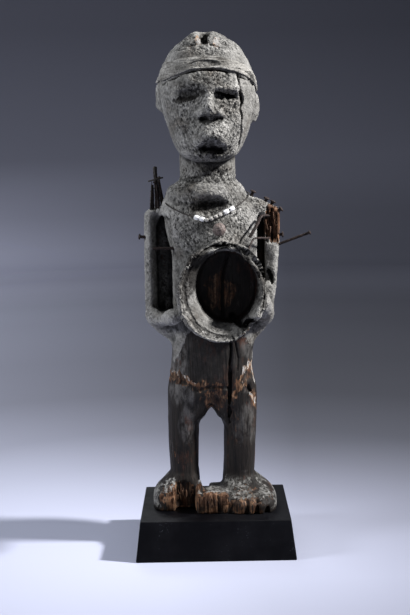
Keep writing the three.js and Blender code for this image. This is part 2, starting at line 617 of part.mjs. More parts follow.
function strandPoint(turn) {
  const a = (turn * PI) / 180;
  const reach = cos(a) > 0 ? STRAND.front : STRAND.back;
  const guess = [COLLAR.x + STRAND.halfX * sin(a), -reach * cos(a), STRAND.low + STRAND.rise * abs(sin(a / 2)) + 3 * sin(a)];
  const off = lerp(3.4, CORD.standOff + CORD.radius, (abs(turn - 9) - 34) / 22);
  return pullOnto(figure, guess, off, 14, 2);
}

const strandCurve = new THREE.CatmullRomCurve3(
  [...Array(60).keys()].map((i) => new THREE.Vector3(...strandPoint(i * 6 - 180))),
  true,
);

function strandGeometry() {
  const tube = new THREE.TubeGeometry(strandCurve, 64, CORD.radius, 5, true);
  return geometryOf(solidOf(tube));
}

function beadGeometry({ turn, length, radius }) {
  const t = (turn + 180) / 360;
  const [a, b] = [strandCurve.getPoint(t - 0.006), strandCurve.getPoint(t + 0.006)];
  const middle = a.clone().add(b).multiplyScalar(0.5);
  const hole = CORD.radius + 0.5;
  const ring = [[hole, -length / 2], [radius * 0.8, -length / 2], [radius, 0], [radius * 0.8, length / 2], [hole, length / 2], [hole, -length / 2]];
  return aimed(lathe(ring, 7), middle.toArray(), b.clone().sub(a).toArray());
}

// The hide band: a closed strip that lies on the skull, lower behind than over the brow.
const BAND_EDGE = [
  [-180, 464, 14],
  [-125, 469, 17],
  [-82, 473.6, 18.5],
  [-56, 472.2, 19],
  [-41, 475.1, 17],
  [-17, 481.2, 13.4],
  [0, 482.7, 12.4],
  [19, 481.4, 12.2],
  [45, 475.5, 13],
  [83, 464.2, 14],
  [130, 461.5, 14],
  [180, 464, 14],
];

function bandGeometry() {
  const [turns, points, faces] = [48, [], []];
  for (let i = 0; i < turns; i++) {
    const turn = (360 * i) / turns - 180;
    const [, edge, height] = between(BAND_EDGE, turn);
    const a = (turn * PI) / 180;
    const ringPoint = (rise, off) => {
      let r = 50;
      for (let step = 0; step < 30; step++) r -= 0.8 * (figure(HEAD_X + r * sin(a), -r * cos(a), edge + rise) - off);
      return [HEAD_X + r * sin(a), -r * cos(a), edge + rise];
    };
    const outer = BAND.gap + BAND.thick;
    points.push(ringPoint(0, BAND.gap + 0.3), ringPoint(0, outer - 0.5), ringPoint(1.5, outer), ringPoint(height * 0.6, outer - 0.3),
      ringPoint(height - 0.6, BAND.gap + BAND.thinEdge), ringPoint(height, BAND.gap + 0.3), ringPoint(height * 0.5, BAND.gap + 0.15));
  }
  const ring = 7;
  for (let i = 0; i < turns; i++)
    for (let j = 0; j < ring; j++) {
      const [a, b] = [i * ring + j, i * ring + ((j + 1) % ring)];
      const [c, d] = [((i + 1) % turns) * ring + j, ((i + 1) % turns) * ring + ((j + 1) % ring)];
      faces.push([a, c, b], [b, c, d]);
    }
  return geometryOf(solidFromMesh({ points, faces }));
}

// The resin knob at the top of the bowl, a rough ball that rests against the chest.
function knobGeometry() {
  const ball = new THREE.IcosahedronGeometry(1, 2).scale(6.4, 5.8, 6.5);
  return ball.translate(...pullOnto(figure, [8.4, -54, 325], 6.4, 12, 2));
}

// Seasoning cracks, each a wedge cut along a line that runs over the surface: a guess, then the width there.
const CRACKS = [
  { depth: 7, line: [[29, -38, 480, 1.2], [30, -40, 470, 2], [31.8, -41, 458, 3.6], [32.3, -40.5, 449, 3], [32, -40, 436, 1.8], [32.4, -38, 423, 1.6], [30, -36, 411, 1.4], [26.6, -34, 402, 0.8]] },
  { depth: 9, line: [[19.5, -34, 216, 1], [18.4, -30, 207, 2], [17.6, -27, 190, 2.4], [16.8, -24, 170, 2.8], [16.2, -22, 148, 2.2], [15.6, -21, 130, 1.6], [15.4, -20, 118, 0.8]] },
];

function crackGeometry({ line, depth }) {
  const onto = line.map(([x, y, z, width]) => ({ p: pullOnto(figure, [x, y, z], 0, 8, 3), width }));
  const [points, faces] = [[], []];
  onto.forEach(({ p, width }, i) => {
    const out = new THREE.Vector3(...slopeOf(figure, p)).normalize();
    const [before, after] = [onto[max(i - 1, 0)].p, onto[min(i + 1, onto.length - 1)].p];
    const side = new THREE.Vector3(...after.map((v, c) => v - before[c])).cross(out).normalize();
    const middle = new THREE.Vector3(...p);
    const edge = (sign, rise, half) => middle.clone().addScaledVector(out, rise).addScaledVector(side, sign * half).toArray();
    const half = (width / 2) * (1 + 3 / depth);
    points.push(edge(1, 3, half), edge(-1, 3, half), edge(0, -depth * min(1, 0.4 + width / 3), 0));
    if (i) for (let k = 0; k < 3; k++) {
      const [a, b] = [i * 3 - 3 + k, i * 3 - 3 + ((k + 1) % 3)];
      faces.push([a, b + 3, b], [a, a + 3, b + 3]);
    }
  });
  const last = points.length - 3;
  faces.push([0, 1, 2], [last, last + 2, last + 1]);
  return { points, faces };
}

function plinthGeometry() {
  const { width, depth, topWidth, topDepth, height, edge } = PLINTH;
  const rings = [
    [0, width / 2 - edge * 0.5, depth / 2 - edge * 0.5],
    [edge * 0.5, width / 2, depth / 2],
    [height - edge, topWidth / 2 + 0.1, topDepth / 2 + 0.1],
    [height, topWidth / 2 - edge * 0.8, topDepth / 2 - edge * 0.8],
  ];
  const points = rings.flatMap(([z, x, y]) => [[-x, -y, z], [x, -y, z], [x, y, z], [-x, y, z]]);
  const faces = [[0, 2, 1], [0, 3, 2], [12, 13, 14], [12, 14, 15]];
  for (let ring = 0; ring < rings.length - 1; ring++)
    for (let i = 0; i < 4; i++) {
      const [a, b] = [ring * 4 + i, ring * 4 + ((i + 1) % 4)];
      faces.push([a, b, b + 4], [a, b + 4, a + 4]);
    }
  return geometryOf(solidFromMesh({ points, faces }));
}

// The carved figure, thinned with more faces kept on the head, cut flat where it stands, and bored.
function figureGeometry() {
  const net = largestPart(surfaceOf(figure, [-74, -86, 34], [80, 60, 530], CELL));
  const finerUp = ([x, y, z]) => (z > 395 && y < 10 ? 5 : z > 395 ? 1.6 : hypot(x - BOWL.x, z - BOWL.z) < 52 && y < -30 ? 2.5 : 1);
  let solid = solidFromMesh(thinned(net, FIGURE_TRIANGLES, finerUp));
  solid = solid.subtract(solidOf(new THREE.BoxGeometry(200, 200, 40).translate(0, 0, GROUND - 20)));
  const bores = [
    ...NAILS.map(({ at, out, thick = 1 }) => aimed(boreGeometry(NAIL.shaft * thick + 0.6, NAIL.driven + 0.8), at, out)),
    ...SPLINTS.map(bundleSplint).map(({ foot, lean, thick }) => aimed(boreGeometry(thick + 0.6, BUNDLE.driven + 0.8), foot, lean)),
    aimed(boreGeometry(BUNDLE.rod + 0.7, BUNDLE.driven + 0.8), BUNDLE.foot, BUNDLE.tilt),
    aimed(boreGeometry(2.4, 15), BLADE_PATH[1], BLADE_PATH[1].map((c, i) => c - BLADE_PATH[0][i])),
    aimed(boreGeometry(1.5, 15), WIRE_PATH[1], WIRE_PATH[1].map((c, i) => c - WIRE_PATH[0][i])),
  ];
  for (const bore of bores) solid = solid.subtract(solidOf(bore));
  for (const crack of CRACKS) solid = solid.subtract(solidFromMesh(crackGeometry(crack)));
  return geometryOf(solid);
}

const finish = (color, roughness, metalness = 0) => new THREE.MeshStandardMaterial({ color, roughness, metalness });
const CRUSTED_WOOD = finish(0x6f6a62, 0.95);
const BLACK_WOOD = finish(0x141416, 0.6);
const HIDE = finish(0x7d7a74, 0.9);
const RUSTY_IRON = finish(0x3a2a22, 0.8, 0.5);
const WHITE_GLASS = finish(0xe6e4e2, 0.35);
const DULL_GLASS = finish(0x8f8c84, 0.6);
const RESIN = finish(0x5d4b48, 0.7);
const TWINE = finish(0x2c2824, 0.95);

const group = new THREE.Group();
function add(name, geometry, material) {
  const mesh = new THREE.Mesh(geometry, material);
  mesh.name = name;
  group.add(mesh);
}

add("plinth", plinthGeometry(), BLACK_WOOD);
add("figure", figureGeometry(), CRUSTED_WOOD);
add("headband", bandGeometry(), HIDE);
add("necklace_cord", strandGeometry(), TWINE);
for (const bead of BEADS) add(bead.name, beadGeometry(bead), bead.name.includes("white") ? WHITE_GLASS : DULL_GLASS);
add("chest_knob", knobGeometry(), RESIN);
for (const nail of NAILS) add(nail.name, aimed(nailGeometry(nail), along(nail.at, nail.out, -NAIL.driven), nail.out), RUSTY_IRON);
add("bent_blade", barAlong(BLADE_PATH, 0.9, 6, 13, 1.9), RUSTY_IRON);
add("bent_wire", barAlong(WIRE_PATH, 0.8, 5, 13), RUSTY_IRON);
SPLINTS.map(bundleSplint).forEach((splint, i) => {
  const start = along(splint.foot, splint.lean, -BUNDLE.driven);
  add(`bundle_splint_${i + 1}`, aimed(splintGeometry(splint), start, splint.lean), RUSTY_IRON);
});
const rodStart = along(BUNDLE.foot, BUNDLE.tilt, -BUNDLE.driven);
const rodReach = BUNDLE.rodStands + BUNDLE.driven;
add("bundle_rod", aimed(lathe([[0, 0], [BUNDLE.rod * 0.8, 0.3], [BUNDLE.rod, 4], [BUNDLE.rod, rodReach - 0.8], [BUNDLE.rod * 0.7, rodReach], [0, rodReach]], 8), rodStart, BUNDLE.tilt), RUSTY_IRON);
const tieRing = new THREE.TorusGeometry(7.2, 0.7, 5, 20).rotateX(PI / 2).rotateZ(0.2);
add("bundle_tie", aimed(tieRing, along(BUNDLE.foot, BUNDLE.tilt, BUNDLE.tieAt), BUNDLE.tilt), TWINE);

export default group;
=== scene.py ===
"""Looks of a carved, clay-crusted power figure on its plinth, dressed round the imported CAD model."""

import logging
import math
from dataclasses import dataclass
from enum import Enum

import bmesh
import bpy
import numpy as np
from mathutils import Matrix, Vector
from mathutils.bvhtree import BVHTree


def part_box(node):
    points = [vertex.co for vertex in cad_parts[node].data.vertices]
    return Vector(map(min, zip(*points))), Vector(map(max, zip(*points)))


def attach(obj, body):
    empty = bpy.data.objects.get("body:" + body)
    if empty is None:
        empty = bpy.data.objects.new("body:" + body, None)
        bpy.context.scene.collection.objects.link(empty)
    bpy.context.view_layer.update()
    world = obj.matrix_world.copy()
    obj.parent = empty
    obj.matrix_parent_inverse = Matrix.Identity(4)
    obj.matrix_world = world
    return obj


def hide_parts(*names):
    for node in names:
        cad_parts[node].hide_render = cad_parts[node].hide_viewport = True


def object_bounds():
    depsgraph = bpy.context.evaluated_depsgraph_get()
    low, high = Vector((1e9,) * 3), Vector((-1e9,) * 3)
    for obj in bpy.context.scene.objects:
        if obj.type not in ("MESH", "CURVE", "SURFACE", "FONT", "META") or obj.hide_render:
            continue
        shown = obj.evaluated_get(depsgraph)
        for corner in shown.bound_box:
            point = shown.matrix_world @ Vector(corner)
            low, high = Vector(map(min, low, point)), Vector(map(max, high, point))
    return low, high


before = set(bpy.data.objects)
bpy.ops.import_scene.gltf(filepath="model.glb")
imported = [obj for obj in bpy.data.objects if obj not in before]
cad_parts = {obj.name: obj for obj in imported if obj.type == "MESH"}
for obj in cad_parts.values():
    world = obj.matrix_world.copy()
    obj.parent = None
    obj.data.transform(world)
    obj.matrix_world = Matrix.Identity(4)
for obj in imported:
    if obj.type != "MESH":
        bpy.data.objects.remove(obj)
CAD_BOX = [list(corner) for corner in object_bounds()]

MM = 0.001
BODY = "root"
# The y in metres from which lines drawn on the front are shot at the surface.
IN_FRONT = -0.2
LOG = logging.getLogger("figure")


# Noise in code, for forms that are too fine for the CAD model.
def hashed(cells: np.ndarray, seed: int) -> np.ndarray:
    """Even random values for whole-numbered cells.

    Args:
        cells: whole numbers, with the three coordinates last.
        seed: picks one of many patterns.
    Returns:
        Values from 0 to 1, one for each cell.
    """
    h = cells[..., 0] * 374761393 + cells[..., 1] * 668265263 + cells[..., 2] * 1440662683
    h = (h + seed * 362437) & 0xFFFFFFFF
    h = ((h ^ (h >> 13)) * 1274126177) & 0xFFFFFFFF
    return ((h ^ (h >> 16)) & 0xFFFFFF) / 0xFFFFFF


def soft_noise(points: np.ndarray, size: float, seed: int, octaves: int = 1) -> np.ndarray:
    """Smooth noise over points.

    Args:
        points: places in mm.
        size: width of the largest lumps in mm.
        seed: picks one of many patterns.
        octaves: how many times finer lumps are added, each half the size.
    Returns:
        Values from about -1 to 1, one for each point.
    """
    total = np.zeros(len(points))
    reach, share = 0.0, 1.0
    for octave in range(octaves):
        scaled = points * (2**octave / size)
        cell = np.floor(scaled).astype(np.int64)
        t = scaled - cell
        t = t * t * (3 - 2 * t)
        value = np.zeros(len(points))
        for corner in np.ndindex(2, 2, 2):
            side = np.array(corner)
            value += np.prod(np.where(side, t, 1 - t), axis=1) * hashed(cell + side, seed + octave)
        total += share * (2 * value - 1)
        reach += share
        share *= 0.55
    return total / reach


def pits(points: np.ndarray, size: float, seed: int, share: float) -> np.ndarray:
    """Round pits scattered over points.

    Args:
        points: places in mm.
        size: width in mm of the cell that may hold one pit.
        seed: picks one of many patterns.
        share: share of the cells that hold a pit.
    Returns:
        Depth from 0 to 1, one for each point.
    """
    scaled = points / size
    cell = np.floor(scaled).astype(np.int64)
    deepest = np.zeros(len(points))
    for near in np.ndindex(3, 3, 3):
        c = cell + np.array(near) - 1
        middle = c + np.stack([hashed(c, seed + k) for k in range(3)], axis=-1)
        radius = 0.28 + 0.36 * hashed(c, seed + 3)
        there = hashed(c, seed + 4) < share
        gone = ((scaled - middle) ** 2).sum(axis=1) / radius**2
        deepest = np.maximum(deepest, np.where(there, 1 - gone, 0))
    return deepest


def eased(value: np.ndarray, start: float, end: float) -> np.ndarray:
    """A smooth step.

    Args:
        value: what is measured.
        start: where the step is still 0.
        end: where the step has reached 1.
    Returns:
        Values from 0 to 1.
    """
    t = np.clip((value - start) / (end - start), 0, 1)
    return t * t * (3 - 2 * t)


def off_line(points: np.ndarray, line: np.ndarray) -> tuple[np.ndarray, np.ndarray]:
    """How far points are from a broken line.

    Args:
        points: places in mm.
        line: rows of x, y, z and width along the line.
    Returns:
        The distance to the line and the line's width at the nearest place, one for each point.
    """
    nearest = np.full(len(points), 1e9)
    width = np.zeros(len(points))
    for a, b in zip(line[:-1], line[1:]):
        run = b[:3] - a[:3]
        t = np.clip((points - a[:3]) @ run / (run @ run), 0, 1)
        away = np.linalg.norm(points - a[:3] - t[:, None] * run, axis=1)
        closer = away < nearest
        nearest = np.where(closer, away, nearest)
        width = np.where(closer, a[3] + t * (b[3] - a[3]), width)
    return nearest, width


def add_cone(
    bm: bmesh.types.BMesh, place: Matrix, sides: int, foot: float, tip: float, length: float
) -> None:
    """Adds a closed cone.

    Args:
        bm: the mesh that it joins.
        place: where its middle goes, in metres.
        sides: how many sides it has.
        foot: its radius at the foot in mm.
        tip: its radius at the tip in mm.
        length: its length in mm.
    """
    made = bmesh.ops.create_cone(
        bm, cap_ends=True, segments=sides, radius1=foot * MM, radius2=tip * MM, depth=length * MM
    )
    bmesh.ops.transform(bm, matrix=place, verts=made["verts"])


class Paint(Enum):
    """What shows at a place on the carving, each kept as a value at every vertex."""

    CLAY = "clay"
    RAW = "raw"
    DUST = "dust"
    # Painted shade in creases, hollows, cracks and under forms, with some soot.
    SHADE_AND_SOOT = "shade_and_soot"
    # Painted shade in pits and painted highlights on ridges.
    RELIEF_SHADING = "relief_shading"
    # Chips, and painted highlights on the bowl's lower lip.
    PALE_AND_HIGHLIGHT = "pale"
    CRUMBLY = "crumbly"
    # Painted shade where a vertex is closed in.
    OCCLUSION_SHADE = "occlusion_shade"


RAW, DUST, SHADE_AND_SOOT, PALE_AND_HIGHLIGHT = Paint.RAW, Paint.DUST, Paint.SHADE_AND_SOOT, Paint.PALE_AND_HIGHLIGHT


def rows_of(items: object, key: str, wide: int, kind: type = float) -> np.ndarray:
    """The numbers that mesh data keeps under a key.

    Args:
        items: the mesh's vertices, edges or normals.
        key: what is read.
        wide: how many numbers each item has.
        kind: the numbers' type.
    Returns:
        One row for each item.
    """
    flat = np.empty(len(items) * wide, dtype=kind)
    items.foreach_get(key, flat)
    return flat.reshape(-1, wide)


def new_piece(name: str, bm: bmesh.types.BMesh) -> bpy.types.Object:
    """A mesh object made of a finished bmesh, which is freed.

    Args:
        name: the object's name.
        bm: the finished bmesh.
    Returns:
        The object.
    """
    mesh = bpy.data.meshes.new(name)
    bm.to_mesh(mesh)
    bm.free()
    piece = bpy.data.objects.new(name, mesh)
    bpy.context.scene.collection.objects.link(piece)
    return piece


class Skin:
    """A fine mesh whose vertices are moved in numpy, in mm."""

    def __init__(self, name: str, mesh: bpy.types.Mesh) -> None:
        """Keeps a mesh to work on.

        Args:
            name: the piece's name.
            mesh: the mesh, in metres.
        """
        self.object = bpy.data.objects.new(name, mesh)
        bpy.context.scene.collection.objects.link(self.object)
        self.read()

    @classmethod
    def of_node(cls, name: str, node: str, voxel: float) -> "Skin":
        """A fine, even copy of a CAD node.

        Args:
            name: the new piece's name.
            node: the CAD node that is copied.
            voxel: width in mm of the new mesh's faces.
        Returns:
            The copy.
        """
        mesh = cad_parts[node].data.copy()
        mesh.materials.clear()
        bm = bmesh.new()
        bm.from_mesh(mesh)
        bmesh.ops.remove_doubles(bm, verts=bm.verts, dist=1e-6)
        bm.to_mesh(mesh)
        bm.free()
        skin = cls(name, mesh)
        skin.through("REMESH", mode="VOXEL", voxel_size=voxel * MM, adaptivity=0)
        return skin

    def read(self) -> None:
        """Reads places and edges out of the mesh."""
        mesh = self.object.data
        self.points = rows_of(mesh.vertices, "co", 3) / MM
        self.edges = rows_of(mesh.edges, "vertices", 2, np.int64)
        self.count = len(mesh.vertices)
        self.degree = np.maximum(np.bincount(self.edges.ravel(), minlength=self.count), 1)

    def write(self) -> None:
        """Puts the moved places back in the mesh, inside the CAD model's box."""
        self.points = np.clip(self.points, *(np.array(CAD_BOX) / MM))
        self.object.data.vertices.foreach_set("co", (self.points * MM).ravel())
        self.object.data.update()

    def through(self, kind: str, **settings: object) -> None:
        """Applies one modifier.

        Args:
            kind: the modifier's type.
            settings: its values by name.
        """
        modifier = self.object.modifiers.new("step", kind)
        for key, value in settings.items():
            setattr(modifier, key, value)
        seen = self.object.evaluated_get(bpy.context.evaluated_depsgraph_get())
        mesh = bpy.data.meshes.new_from_object(seen)
        self.object.modifiers.clear()
        self.object.data = mesh
        self.read()

    def normals(self) -> np.ndarray:
        """The outward direction at each vertex, after the last move."""
        self.write()
        return rows_of(self.object.data.vertex_normals, "vector", 3)

    def calmed(self, values: np.ndarray, times: int, rate: float = 0.5) -> np.ndarray:
        """Values blurred along the edges.

        Args:
            values: one row for each vertex.
            times: how many times each value moves towards its neighbours' mean.
            rate: how far it moves each time.
        Returns:
            The blurred values.
        """
        a, b = self.edges.T
        for _ in range(times):
            near = [
                np.bincount(a, column[b], self.count) + np.bincount(b, column[a], self.count)
                for column in values.T
            ]
            values = values + rate * (np.stack(near, axis=1) / self.degree[:, None] - values)
        return values

    def smooth(self, times: int, share: np.ndarray | float = 1.0) -> None:
        """Takes facets away without shrinking the form much.

        Args:
            times: pairs of a smoothing and a swelling step.
            share: how much of the move each vertex takes.
        """
        for _ in range(times):
            for rate in (0.6, -0.62):
                self.points = self.points + share * (self.calmed(self.points, 1, rate) - self.points)

    def soften(self, middle: tuple, reach: tuple, times: int) -> None:
        """Melts the forms round one place.

        Args:
            middle: the place in mm.
            reach: how far it works along each axis in mm.
            times: how many times it is smoothed.
        """
        away = (((self.points - middle) / reach) ** 2).sum(axis=1)
        share = np.clip(1 - away, 0, 1)[:, None] ** 0.5
        for _ in range(times):
            self.points = self.points + share * (self.calmed(self.points, 1, 0.6) - self.points)

    def push(self, distance: np.ndarray) -> None:
        """Moves each vertex out by its distance in mm."""
        self.points = self.points + self.normals() * distance[:, None]

    def front(self, rows: tuple) -> np.ndarray:
        """Puts a line, drawn as seen from the front, on the surface.

        Args:
            rows: rows of x, z and width in mm.
        Returns:
            Rows of x, y, z and width.
        """
        self.write()
        tree = BVHTree.FromObject(self.object, bpy.context.evaluated_depsgraph_get())
        placed = []
        for x, z, width in rows:
            hit = tree.ray_cast((x * MM, IN_FRONT, z * MM), (0, 1, 0))[0]
            placed.append((x, (hit.y if hit else 0) / MM, z, width))
        return np.array(placed)

    def pit_depth(self, times: int) -> np.ndarray:
        """How far each vertex lies below its blurred neighbourhood, in mm."""
        away = self.calmed(self.points, times) - self.points
        return (away * self.normals()).sum(axis=1)

    def occlusion_shade(self, rays: int, reach: float) -> np.ndarray:
        """How closed-in each vertex is, for the painted shade in closed-in places.

        Args:
            rays: directions that are tried at each vertex.
            reach: how far in mm something still shelters it.
        Returns:
            Values from 0 in the open to 1 deep in a hollow.
        """
        normals = self.normals()
        tree = BVHTree.FromObject(self.object, bpy.context.evaluated_depsgraph_get())
        draw = np.random.RandomState(11)
        blocked = np.zeros(self.count)
        starts = (self.points + normals * 0.25) * MM
        for _ in range(rays):
            way = draw.normal(size=3)
            way /= np.linalg.norm(way)
            ways = normals * 1.05 + way
            ways /= np.linalg.norm(ways, axis=1)[:, None]
            hits = [
                tree.ray_cast(start, towards, reach * MM)[3]
                for start, towards in zip(starts.tolist(), ways.tolist())
            ]
            blocked += [0 if h is None else 1 - 0.6 * h / (reach * MM) for h in hits]
        return blocked / rays

    def paint(self, layer: Paint, values: np.ndarray) -> None:
        """Keeps one value for each vertex, for the material to read."""
        layer_data = self.object.data.attributes.new(layer.value, "FLOAT", "POINT")
        layer_data.data.foreach_set("value", np.clip(values, 0, 1).astype(np.float32))

    def finished(self, material: bpy.types.Material, slot: str, *nodes: str) -> bpy.types.Object:
        """Makes the mesh a finished piece, which stands for the nodes that are named."""
        self.write()
        return settle(self.object, material, slot, *nodes)


def settle(
    piece: bpy.types.Object, material: bpy.types.Material, slot: str, *nodes: str
) -> bpy.types.Object:
    """Gives a piece its finish and its body, and hides the CAD nodes that it stands for.

    Args:
        piece: the new mesh object.
        material: its finish.
        slot: not used.
        nodes: the CAD nodes that it stands for.
    Returns:
        The piece.
    """
    points = np.clip(rows_of(piece.data.vertices, "co", 3), *CAD_BOX)
    piece.data.vertices.foreach_set("co", points.ravel())
    piece.data.update()
    piece.data.materials.clear()
    piece.data.materials.append(material)
    for polygon in piece.data.polygons:
        polygon.use_smooth = True
    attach(piece, BODY)
    if nodes:
        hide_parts(*nodes)
    LOG.info("%s: %d faces", piece.name, len(piece.data.polygons))
    return piece


class Shade:
    """One procedural material, and the few calls that wire its nodes."""

    def __init__(self, name: str) -> None:
        """Starts a material.

        Args:
            name: the material's name.
        """
        self.material = bpy.data.materials.new(name)
        self.material.use_nodes = True
        self.tree = self.material.node_tree
        self.shader = self.tree.nodes["Principled BSDF"]
        self.place = self.tree.nodes.new("ShaderNodeTexCoord").outputs["Object"]

    def put(self, node: bpy.types.Node, socket: int | str, value: object) -> None:
        """Links a socket, or sets it where the value is no socket.

        Args:
            node: the node that takes the value.
            socket: the name or number of its input.
            value: a socket or a plain value.
        """
        if isinstance(value, bpy.types.NodeSocket):
            self.tree.links.new(value, node.inputs[socket])
        else:
            node.inputs[socket].default_value = value

    def add(self, kind: str, wanted: str, **values: object) -> object:
        """Adds a node.

        Args:
            kind: the node's type, without what all types start with.
            wanted: the output that is wanted.
            values: numbers or sockets for its inputs, by name.
        Returns:
            The output's socket.
        """
        node = self.tree.nodes.new("ShaderNode" + kind)
        for key, value in values.items():
            self.put(node, key, value)
        return node.outputs[wanted]

    def set(self, **values: object) -> None:
        """Sets or links the shader's own inputs, with _ for a space in a name."""
        for key, value in values.items():
            self.put(self.shader, key.replace("_", " "), value)

    def axis(self, name: str) -> object:
        """One of the Object coordinates, in metres."""
        return self.add("SeparateXYZ", name, Vector=self.place)

    def stretched(self, scale: tuple, turn: tuple = (0, 0, 0)) -> object:
        """Object coordinates turned in degrees, with the pattern scale times smaller along each axis."""
        turned = tuple(math.radians(t) for t in turn)
        return self.add("Mapping", "Vector", Vector=self.place, Scale=scale, Rotation=turned)

    def noise(
        self, scale: float, detail: float = 4, rough: float = 0.6, along: object = None, bend: float = 0
    ) -> object:
        """Noise from 0 to 1.

        Args:
            scale: lumps in a metre.
            detail: octaves.
            rough: how strong the finer octaves are.
            along: the coordinates that it reads, or the plain ones.
            bend: how far it is distorted.
        Returns:
            The socket.
        """
        along = along or self.place
        settings = {"Scale": scale, "Detail": detail, "Roughness": rough, "Distortion": bend}
        return self.add("TexNoise", "Fac", Vector=along, **settings)

    def cells(self, scale: float) -> object:
        """Distance to the middle of scattered cells."""
        return self.add("TexVoronoi", "Distance", Vector=self.place, Scale=scale)

    def painted(self, layer: Paint) -> object:
        """The value that the mesh carries for one layer.

        Args:
            layer: which layer.
        Returns:
            The socket.
        """
        node = self.tree.nodes.new("ShaderNodeAttribute")
        node.attribute_name = layer.value
        return node.outputs["Fac"]

    def ramp(self, value: object, *stops: tuple) -> object:
        """A colour or grey for each value.

        Args:
            value: what is looked up.
            stops: pairs of a place from 0 to 1 and a grey or a colour there.
        Returns:
            The socket.
        """
        node = self.tree.nodes.new("ShaderNodeValToRGB")
        self.put(node, "Fac", value)
        marks = node.color_ramp.elements
        while len(marks) < len(stops):
            marks.new(0.5)
        for mark, (at, tone) in zip(marks, stops):
            mark.position = at
            mark.color = (*tone, 1) if isinstance(tone, tuple) else (tone, tone, tone, 1)
        return node.outputs["Color"]

    def mixed(self, share: object, a: object, b: object, how: str = "MIX") -> object:
        """Colour a gone over to colour b by a share.

        Args:
            share: 0 for a, 1 for b.
            a: a colour or a socket.
            b: a colour or a socket.
            how: the blend.
        Returns:
            The socket.
        """
        node = self.tree.nodes.new("ShaderNodeMix")
        node.data_type, node.blend_type = "RGBA", how
        self.put(node, 0, share)
        self.put(node, 6, (*a, 1) if isinstance(a, tuple) else a)
        self.put(node, 7, (*b, 1) if isinstance(b, tuple) else b)
        return node.outputs[2]

    def sum(self, how: str, a: object, b: object, keep: bool = False) -> object:
        """One sum of two numbers.

        Args:
            how: the operation.
            a: a number or a socket.
            b: a number or a socket.
            keep: whether the result stays between 0 and 1.
        Returns:
            The socket.
        """
        node = self.tree.nodes.new("ShaderNodeMath")
        node.operation, node.use_clamp = how, keep
        self.put(node, 0, a)
        self.put(node, 1, b)
        return node.outputs[0]

    def times(self, a: object, b: object, keep: bool = False) -> object:
        """One number times another."""
        return self.sum("MULTIPLY", a, b, keep)

    def plus(self, a: object, b: object, keep: bool = False) -> object:
        """One number plus another."""
        return self.sum("ADD", a, b, keep)

    def dimmed(self, tone: object, by: object) -> object:
        """One colour times another."""
        return self.mixed(1.0, tone, by, "MULTIPLY")

    def bump(self, height: object, distance: float, strength: float = 1.0) -> None:
        """Bumps the shader's surface by a height of 0 to 1, where 1 stands for a distance in mm."""
        bumped = self.add("Bump", "Normal", Height=height, Distance=distance * MM, Strength=strength)
        self.put(self.shader, "Normal", bumped)


